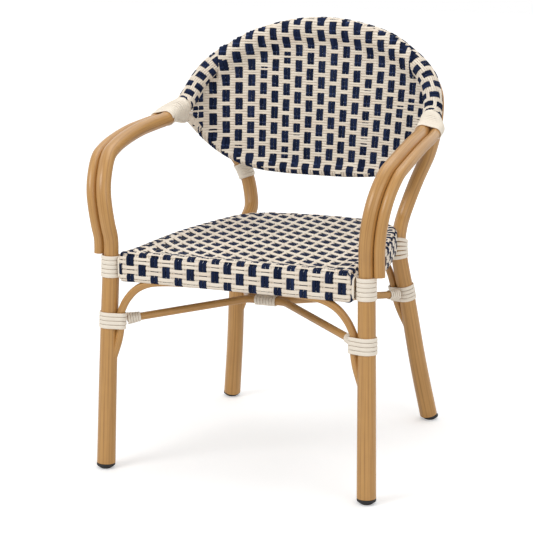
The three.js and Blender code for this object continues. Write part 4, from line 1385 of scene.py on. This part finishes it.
class CHAIR_OT_seat_top(bpy.types.Operator):
    """Weaves the top of the seat: slanting cream rows over navy and cream columns"""

    bl_idname = "chair.seat_top"
    bl_label = "Top of the seat"

    def execute(self, context):
        sizes = context.scene.chair_sizes
        thick, pitch, period = sizes.strand_thickness, sizes.seat_column_pitch, sizes.seat_period
        lift = lift_of(thick)
        level = SKIRT_HALF_HEIGHT - lift - thick / 2
        outline = seat_outline(SKIRT_REACH - SEAT_EDGE - SEAT_EDGE_LAP)
        edge = outline.line[::3]
        slope = -period / 2 / pitch
        heading = unit(np.array([1.0, slope]))
        row_pitch = period / 4
        row_width = row_pitch * heading[0] - SEAT_ROW_GAP
        first_row = SEAT_FIRST_CHECK - slope * SEAT_FIRST_COLUMN
        bundles = cane_bundles(31)
        rows, navy, cream = bundles
        up = turned(UP)

        def lay(bundle, section, x, y, rise, widths=None):
            z = level + rise + seat_height(x, y, edge)
            bundle.add(section, to_seat(np.stack([x, y, z], -1)), np.tile(up, (len(x), 1)), widths=widths)

        for row in SEAT_ROWS:
            start = first_row + (row + 0.5) * row_pitch
            ends = chord(outline, np.array([0, start]), heading)
            if ends is None:
                continue
            bends = (np.array(SEAT_COLUMNS)[:, None] + ROW_BENDS).ravel()
            along = np.unique(np.clip((SEAT_FIRST_COLUMN + bends * pitch) / heading[0], *ends))
            x, y = along * heading[0], start + along * heading[1]
            phase = (x - SEAT_FIRST_COLUMN) / pitch
            level_there = np.abs(phase - np.round(phase)) < SEAT_CHECK_REACH
            is_over = row % 4 > 1
            rise = np.where(level_there, lift if is_over else -lift, lift * BETWEEN_RISE)
            tight = is_over & level_there
            closer = np.where(tight, SEAT_PINCH if row % 4 == 2 else -SEAT_PINCH, 0)
            y = y + closer + wander(x, row, SEAT_WANDER)
            lay(rows, flat_section(row_width, thick), x, y, rise, np.where(tight, SEAT_TIGHT_WIDTH, 1))
        columns = int((SEAT_HALF_WIDTH + SKIRT_REACH) / pitch) + 1
        half_columns = range(-2 * columns, 2 * columns + 1)
        for half_column, is_navy, width, aside in uprights(half_columns, SEAT_SHARES, pitch):
            middle = SEAT_FIRST_COLUMN + half_column / 2 * pitch
            ends = chord(outline, np.array([middle + aside, 0]), np.array([0.0, 1.0]))
            if ends is None:
                continue
            shift = first_row + slope * middle
            step = row_pitch / 4
            first, last = (round((end - shift) / step) for end in ends)
            y = np.unique(np.clip(np.arange(first, last + 1) * step + shift, *ends))
            rise = np.full(len(y), cream_rise(thick))
            if is_navy:
                rise = np.interp(np.mod((y - shift) / row_pitch, 4), SEAT_CHECK_ROWS, SEAT_CHECK_RISE) * lift
            section = upright_section(is_navy, width, thick)
            lay(navy if is_navy else cream, section, np.full(len(y), middle + aside), y, rise)
        keep_cane("seat", bundles, "seat_weave")
        return {"FINISHED"}


# Sides of the seat: heights of the cream rows over its middle, and their widths
SKIRT_ROWS = (0.0215, 0.0158, 0.0097, 0.0028, -0.0046, -0.0123, -0.0200)
SKIRT_WIDTHS = (0.0050, 0.0057, 0.0063, 0.0070, 0.0073, 0.0075, 0.0074)
SKIRT_FIRST_COLUMN = -0.0100
SKIRT_PINCH = 0.0005
SKIRT_CHECK_RISE = 1.35
SKIRT_CHECK_FALL = 0.5
SKIRT_CHECK_HALF = 0.004
ROD_SLOT_REACH = 0.205
SKIRT_TOP_RISE = 0.8
CROWN_LOW_SHARE = -0.4

# Ways out of the edge's section at which its side and its rows begin, and of the front side
SIDE_LEAST_OUT = 0.2
SIDE_LEAST_UP = -0.8
ROW_LEAST_OUT = 0.05
ROW_LEAST_UP = -0.9
FRONT_FACING = -0.9

# Section of the seat's edge: where it runs in under the top's weave, as inward and down, then its outside,
# its underside and its inner round
SKIRT_TOP = ((0.025, 0.0034), (0.022, 0.0026), (0.0185, 0.0008), (0.0155, 0), (0.0125, 0))
SKIRT_STEP = 0.0026
SKIRT_LOW_ROUND = 0.006
SKIRT_UNDERSIDE = (-0.012, -0.016, -0.020)
SKIRT_INNER_ROUND = 0.005
SKIRT_INNER_MIDDLE = -0.023
SKIRT_INNER_HEIGHTS = (-0.012, -0.004)


def skirt_over(row, column):
    """Whether a cream row of the seat's side passes over a navy column."""
    return (row + 1) // 2 % 2 == column % 2


def skirt_round(middle_out, middle_up, radius, angles):
    """A round stretch of the edge's section: places and their ways out."""
    ways = [(math.cos(angle), math.sin(angle)) for angle in angles]
    return [(middle_out + radius * out, middle_up + radius * up, out, up) for out, up in ways]


def skirt_section(middle):
    """Section of the seat's edge, as places and their ways out: its top and outside, and what is below."""
    edge, low_edge = SEAT_EDGE - middle, SKIRT_LOW_ROUND
    top, side_out, bottom = SKIRT_HALF_HEIGHT - middle, -middle, middle - SKIRT_HALF_HEIGHT
    heights = np.arange(top - edge - SKIRT_STEP, bottom + low_edge, -SKIRT_STEP)
    quarter = math.pi / 2
    outside = [
        *[(-inward, top - down, 0, 1) for inward, down in SKIRT_TOP],
        *skirt_round(side_out - edge, top - edge, edge, np.linspace(quarter, 0, 9)[1:]),
        *[(side_out, height, 1, 0) for height in heights],
        *skirt_round(side_out - low_edge, bottom + low_edge, low_edge, np.linspace(0, -quarter, 5)),
    ]
    inner = SKIRT_INNER_ROUND
    below = [
        *[(out, bottom, 0, -1) for out in SKIRT_UNDERSIDE],
        *skirt_round(SKIRT_INNER_MIDDLE, bottom + inner, inner, np.linspace(-quarter, -math.pi, 5)[1:]),
        *[(SKIRT_INNER_MIDDLE - inner, height, -1, 0) for height in SKIRT_INNER_HEIGHTS],
    ]
    return np.array(outside), np.array(below)


class CHAIR_OT_seat_skirt(bpy.types.Operator):
    """Weaves the sides of the seat round its rails"""

    bl_idname = "chair.seat_skirt"
    bl_label = "Sides of the seat"

    def execute(self, context):
        sizes = context.scene.chair_sizes
        thick = sizes.strand_thickness
        lift = lift_of(thick)
        outline = seat_outline(SKIRT_REACH)
        count = round(outline.length / sizes.skirt_pitch / 2) * 2
        pitch = outline.length / count
        bundles = cane_bundles(41)
        rows, navy, cream = bundles
        outside, below = skirt_section(lift + thick / 2)
        section = np.vstack([outside, below])
        line, ways = section[:, :2], section[:, 2:]
        on_side = (ways[:, 0] > SIDE_LEAST_OUT) & (ways[:, 1] > SIDE_LEAST_UP)
        row_heights = np.array(SKIRT_ROWS)
        nearest = np.abs(line[:, 1:] - row_heights).argmin(1)
        within = np.abs(line[:, 1] - row_heights[nearest])
        bulge = SKIRT_CHECK_RISE - SKIRT_CHECK_FALL * (within / SKIRT_CHECK_HALF) ** 2

        def place(centre, outward, out, height):
            """Raises the rolled edge at the front a little over its section."""
            lifted = height + crown(centre[..., 1]) * np.clip(height / SKIRT_HALF_HEIGHT, CROWN_LOW_SHARE, 1)
            return to_seat(centre + outward * out[..., None] + UP * lifted[..., None])

        for half_column, is_navy, width, aside in uprights(range(2 * count), SKIRT_SHARES, pitch):
            distance = (SKIRT_FIRST_COLUMN + half_column / 2 * pitch + aside) % outline.length
            centre, heading = outline.at(distance), outline.heading(distance)
            outward = np.array([heading[1], -heading[0], 0])
            ways_out = ways[:, :1] * outward + ways[:, 1:] * UP
            if is_navy:
                under = np.array([skirt_over(row, half_column // 2) for row in nearest])
                rise = np.where(on_side, np.where(under, -1, bulge), 1) * lift
            else:
                rise = np.where(on_side, cream_rise(thick), lift)
                rise = np.where(line[:, 1] > SKIRT_ROWS[0], lift * SKIRT_TOP_RISE, rise)
            centres = np.tile(centre, (len(line), 1))
            spots = place(centres, outward, line[:, 0] + ways[:, 0] * rise, line[:, 1] + ways[:, 1] * rise)
            over_rod = outward[1] < FRONT_FACING and abs(centre[0]) < ROD_SLOT_REACH
            kept = slice(0, len(outside) if over_rod else None)
            (navy if is_navy else cream).add(
                upright_section(is_navy, width, thick), spots[kept], turned(ways_out)[kept]
            )
        steps = np.arange(count * PER_COLUMN)
        distances = (SKIRT_FIRST_COLUMN + steps * pitch / PER_COLUMN) % outline.length
        centres, headings = outline.at(distances), outline.heading(distances)
        outward = np.stack([headings[:, 1], -headings[:, 0], 0 * headings[:, 0]], -1)
        column, away = nearest_column(steps)
        front = (ways[:, 0] > ROW_LEAST_OUT) & (ways[:, 1] > ROW_LEAST_UP)
        for row, (height, width) in enumerate(zip(SKIRT_ROWS, SKIRT_WIDTHS)):
            base, out, up = (np.interp(-height, -line[front, 1], section[front, part]) for part in (0, 2, 3))
            is_over = np.array([skirt_over(row, value % count) for value in column])
            rise = row_rise(away, is_over, lift)
            towards = SKIRT_PINCH if row % 2 == 0 else -SKIRT_PINCH
            closer = np.where(is_over & (away <= CHECK_REACH), towards, 0)
            spots = place(centres, outward, base + out * rise, height + closer + up * rise)
            rows.add(flat_section(width, thick), spots, turned(outward * out + UP * up), closed=True)
        keep_cane("skirt", bundles, "seat_weave")
        return {"FINISHED"}


# Bindings

OUTLINE_ANGLES = np.linspace(0, 2 * math.pi, 361)[:-1]
OUTLINE_NORMALS = np.stack([np.cos(OUTLINE_ANGLES), np.sin(OUTLINE_ANGLES)], -1)

# Share of a ring over which the strip steps on to the next, and what the last ring lacks
JOG = 0.16
LAST_GAP = 0.02

# Rings of each kind of binding
SEAT_RINGS = 5
LOWER_RINGS = 4
BACK_RINGS = 5
TAPER_RINGS = 11
BRACE_RINGS = 5
CORNER_RINGS = 2
CENTRE_RINGS = 7


def round_outline(discs):
    """The line drawn tight round some discs of a section, one point for each direction."""
    middles = np.array([(x, y) for x, y, _ in discs])
    radii = np.array([radius for *_, radius in discs])
    reach = OUTLINE_NORMALS @ middles.T + radii
    best = reach.argmax(1)
    return middles[best] + OUTLINE_NORMALS * radii[best][:, None]


def on_outline(outline, share):
    """Point and normal at a share of the way round an outline."""
    closed = np.vstack([outline, outline[:1]])
    steps = np.linalg.norm(np.diff(closed, axis=0), axis=1)
    reach = np.concatenate([[0], np.cumsum(steps)])
    target = share % 1 * reach[-1]
    spot = [np.interp(target, reach, closed[:, axis]) for axis in range(2)]
    ways = np.vstack([OUTLINE_NORMALS, OUTLINE_NORMALS[:1]])
    normal = [np.interp(target, reach, ways[:, axis]) for axis in range(2)]
    return np.array(spot), unit(np.array(normal))


def wrap(name, replaced, route, start, end, rings, outline_at, reference, sign,
         begin=0.5, gap=0.00035, around=48, thick=BINDING_THICKNESS):
    """Winds one flat strip in level rings round what lies along a route, stepping on at its hidden side."""
    length = end - start
    pitch = (length + gap) / rings
    width = pitch - gap
    count = round((rings - LAST_GAP) * around)
    spots, outwards = [], []
    for index in range(count + 1):
        turn = index / around
        step = min(max((turn % 1 - (1 - JOG)) / JOG, 0), 1)
        level = math.floor(turn) + step * step * (3 - 2 * step)
        distance = start + width / 2 + pitch * min(level, rings - 1)
        heading = route.heading(distance)
        across = square_to(np.asarray(reference, float), heading)
        over = np.cross(heading, across)
        spot, normal = on_outline(outline_at((distance - start) / length), begin + turn)
        outward = across * normal[0] + over * normal[1]
        spots.append(route.at(distance) + across * spot[0] + over * spot[1] + outward * thick / 2)
        outwards.append(outward)
    bundle = Bundle()
    bundle.add(flat_section(width, thick), np.array(spots), np.array(outwards), mirror=sign < 0)
    bundle.piece(name, "cream binding", "cane_binding", replaced)


def leg_wrap(name, replaced, leg, level, height, rings, discs, sign):
    """Winds a binding round a leg and what lies beside it, as discs of its section."""
    route, distance_at = leg
    outline = round_outline(discs)
    start, end = distance_at(level - height / 2), distance_at(level + height / 2)
    wrap(name, replaced, route, start, end, rings, lambda share: outline, ACROSS, sign)


class CHAIR_OT_bindings(bpy.types.Operator):
    """Winds the cane bindings of the legs, the arms, the rods and the seat corners"""

    bl_idname = "chair.bindings"
    bl_label = "Cane bindings"

    def execute(self, context):
        front_radius = float(leg_diameter_at(front_rail_level - SEAT_BINDING_HEIGHT / 2)) / 2 + CLEARANCE
        rear_radius = LEG_DIAMETER / 2 + CLEARANCE * 3
        wraps = [
            ("seat", "front", front_rail_level, SEAT_BINDING_HEIGHT, SEAT_RINGS, [(0, 0, front_radius)]),
            (
                "seat", "rear", REAR_SEAT_BINDING_LEVEL, REAR_SEAT_BINDING_HEIGHT, SEAT_RINGS,
                [(0, 0, rear_radius)],
            ),
        ]
        for place, (level, *_) in UNDER_SEAT.items():
            wraps.append(("lower", place, level, LOWER_BINDING_HEIGHT, LOWER_RINGS, lower_discs(level)))
        for side, sign in SIDES:
            for kind, place, *measures in wraps:
                names = (f"{kind}_wrap_{place}_{side}", f"{kind}_binding_{place}_{side}")
                leg_wrap(*names, LEGS[place], *measures, sign)
            self.arm_taper(side, sign)
            self.brace_ends(side, sign)
            self.seat_corner(side, sign)
        leg_wrap(
            "back_wrap_left", "back_binding_left", LEGS["rear"], BACK_BINDING_LEVEL, BACK_BINDING_HEIGHT,
            BACK_RINGS, [(0, 0, HOOP_DIAMETER / 2 + ROD_CLEARANCE)], -1,
        )
        self.centre()
        return {"FINISHED"}

    def arm_taper(self, side, sign):
        first = round_outline([
            (0, 0, ARM_DIAMETER / 2 + CLEARANCE),
            (OUTER_ARM_DISTANCE, 0, OUTER_ARM_DIAMETER / 2 + CLEARANCE),
        ])
        last = round_outline([
            (0, 0, RIM_DIAMETER / 2 - BINDING_THICKNESS + CLEARANCE),
            (0, RAIL_END_DISTANCE, LOWER_RAIL_DIAMETER / 2 + CLEARANCE),
        ])

        def outline_at(share):
            blend = max(0, share - TAPER_LEVEL_SHARE) / (1 - TAPER_LEVEL_SHARE)
            return first + (last - first) * blend

        wrap(
            f"taper_wrap_{side}", f"arm_taper_binding_{side}", frame_route, taper_from, taper_to,
            TAPER_RINGS, outline_at, OUTER_ARM_LEAN, sign, gap=0.0003, around=56,
        )

    def brace_ends(self, side, sign):
        def outline_at(share):
            return round_outline([(0, 0, ROD_DIAMETER / 2 + CLEARANCE + BRACE_BINDING_FLARE * (1 - share))])

        for place, leg in LEGS.items():
            level, *_, way = UNDER_SEAT[place]
            brace = brace_route(leg, level, way)
            wrap(
                f"brace_wrap_{place}_{side}", f"brace_end_binding_{place}_{side}", brace,
                0, BRACE_BINDING_LENGTH, BRACE_RINGS, outline_at, UP, sign, thick=BRACE_STRIP_THICKNESS,
            )

    def seat_corner(self, side, sign):
        radius = RAIL_WIDTH / 4
        x, y = RAIL_WIDTH / 2 - radius, RAIL_HEIGHT / 2 - radius
        corners = ((x, y), (-x, y), (-x, -y), (x, -y))
        outline = round_outline([(*corner, radius + CLEARANCE) for corner in corners])
        low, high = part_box(f"seat_corner_binding_{side}")
        near, far = sorted((abs(low.x), abs(high.x)))
        rail = Route([to_seat(np.array([place, 0, 0.0])) for place in (near, far)], smooth=False)
        wrap(
            f"corner_wrap_{side}", f"seat_corner_binding_{side}", rail, 0, rail.length, CORNER_RINGS,
            lambda share: outline, turned(DEPTH), sign, begin=0.1,
        )

    def centre(self):
        half_gap = (ROD_DIAMETER + ROD_CLEARANCE) / 2
        radius = ROD_DIAMETER / 2 + CLEARANCE * 2
        outline = round_outline([(0, 0, radius), (half_gap * 2, 0, radius)])
        half = CENTRE_BINDING_LENGTH / 2
        line = Route([(x, BRACE_DEPTH - half_gap, BRACE_LEVEL) for x in (-half, half)], smooth=False)
        wrap(
            "centre_wrap", "centre_binding", line, 0, line.length, CENTRE_RINGS,
            lambda share: outline, DEPTH, 1, begin=0.85,
        )


# Stage

LIT_POINT = Matrix.Translation((0, 0, 0.45)).to_translation()
CAMERA_PLACE = (1.2262, -3.1358, 1.1292)
CAMERA_TURN = (math.radians(77.3795), 0, math.radians(21.968))
CAMERA_LENS = 114.82
SENSOR_WIDTH = 36


def area_lamp(name, place, size, power):
    bpy.ops.object.light_add(type="AREA", location=place)
    lamp = bpy.context.object
    lamp.name = name
    lamp.data.shape = "DISK"
    lamp.data.size = size
    lamp.data.energy = power
    lamp.rotation_euler = (LIT_POINT - lamp.location).to_track_quat("-Z", "Y").to_euler()


class CHAIR_OT_stage(bpy.types.Operator):
    """Sets the floor, the background, the lamps and the camera"""

    bl_idname = "chair.stage"
    bl_label = "Stage"

    def execute(self, context):
        self.floor()
        self.world(context.scene)
        area_lamp("key lamp", (-1.6, -2.4, 2.6), size=1.6, power=40)
        area_lamp("fill lamp", (2.6, -1.6, 1.8), size=2.2, power=16)
        area_lamp("top lamp", (0.2, 0.6, 3.0), size=2.4, power=24)
        bpy.ops.object.camera_add(location=CAMERA_PLACE, rotation=CAMERA_TURN)
        camera = context.object
        camera.data.lens = CAMERA_LENS
        camera.data.sensor_width = SENSOR_WIDTH
        context.scene.camera = camera
        context.scene.view_settings.view_transform = "Standard"
        return {"FINISHED"}

    def floor(self):
        """A matt floor that the camera alone sees lifted to white, more so away from the chair."""
        bpy.ops.mesh.primitive_grid_add(x_subdivisions=4, y_subdivisions=4, size=24, location=(0, 0, 0))
        floor = bpy.context.object
        floor.name = "floor"
        tree, shader = new_finish("white floor")
        fill(tree, shader, {"Base Color": (0.9, 0.9, 0.9, 1), "Roughness": 0.8})
        position = add_node(tree, "NewGeometry", {}).outputs["Position"]
        distance = add_node(tree, "VectorMath", {0: position}, operation="LENGTH")
        fade = add_node(
            tree, "MapRange",
            {
                "Value": distance.outputs["Value"],
                "From Min": 0.5, "From Max": 2.6, "To Min": 0.33, "To Max": 0.6,
            },
            interpolation_type="SMOOTHSTEP",
        )
        lift = add_node(tree, "Emission", {"Strength": fade.outputs["Result"]})
        bright = add_node(tree, "AddShader", {0: shader.outputs[0], 1: lift.outputs[0]})
        seen = add_node(tree, "LightPath", {}).outputs["Is Camera Ray"]
        mix = add_node(tree, "MixShader", {"Fac": seen, 1: shader.outputs[0], 2: bright.outputs[0]})
        fill(tree, tree.nodes["Material Output"], {"Surface": mix.outputs[0]})
        paint(floor, "white floor")

    def world(self, scene):
        """A soft light all round, seen as plain white by the camera and in reflections."""
        world = bpy.data.worlds.new("white studio")
        world.use_nodes = True
        tree = world.node_tree
        soft = fill(tree, tree.nodes["Background"], {"Color": (1, 1, 1, 1), "Strength": 0.55})
        white = add_node(tree, "Background", {"Color": (1, 1, 1, 1), "Strength": 1.0})
        rays = add_node(tree, "LightPath", {}).outputs
        seen = {0: rays["Is Camera Ray"], 1: rays["Is Glossy Ray"]}
        either = add_node(tree, "Math", seen, operation="MAXIMUM").outputs[0]
        mix = add_node(tree, "MixShader", {"Fac": either, 1: soft.outputs[0], 2: white.outputs[0]})
        fill(tree, tree.nodes["World Output"], {"Surface": mix.outputs[0]})
        scene.world = world


class CHAIR_PT_panel(bpy.types.Panel):
    """The chair's steps in the sidebar"""

    bl_idname = "CHAIR_PT_panel"
    bl_label = "Bistro chair"
    bl_space_type = "VIEW_3D"
    bl_region_type = "UI"
    bl_category = "Bistro chair"

    def draw(self, context):
        for settings in (context.scene.chair_sizes, context.scene.chair_colours):
            for name in settings.bl_rna.properties.keys():
                if name not in ("rna_type", "name"):
                    self.layout.prop(settings, name)
        for step in STEPS:
            self.layout.operator(step.bl_idname)


STEPS = (
    CHAIR_OT_finishes, CHAIR_OT_arms, CHAIR_OT_rear_hoop, CHAIR_OT_rods, CHAIR_OT_glides,
    CHAIR_OT_inner_tubes, CHAIR_OT_back, CHAIR_OT_rim, CHAIR_OT_seat_top, CHAIR_OT_seat_skirt,
    CHAIR_OT_bindings, CHAIR_OT_stage,
)
CLASSES = (ChairSizes, ChairColours, *STEPS, CHAIR_PT_panel)


def register():
    for made in CLASSES:
        bpy.utils.register_class(made)
    bpy.types.Scene.chair_sizes = PointerProperty(type=ChairSizes)
    bpy.types.Scene.chair_colours = PointerProperty(type=ChairColours)


def unregister():
    del bpy.types.Scene.chair_colours
    del bpy.types.Scene.chair_sizes
    for made in reversed(CLASSES):
        bpy.utils.unregister_class(made)


def main():
    register()
    bpy.ops.chair.finishes()
    bpy.ops.chair.arms()
    bpy.ops.chair.rear_hoop()
    bpy.ops.chair.rods()
    bpy.ops.chair.glides()
    bpy.ops.chair.inner_tubes()
    bpy.ops.chair.back()
    bpy.ops.chair.rim()
    bpy.ops.chair.seat_top()
    bpy.ops.chair.seat_skirt()
    bpy.ops.chair.bindings()
    bpy.ops.chair.stage()


if __name__ == "__main__":
    main()
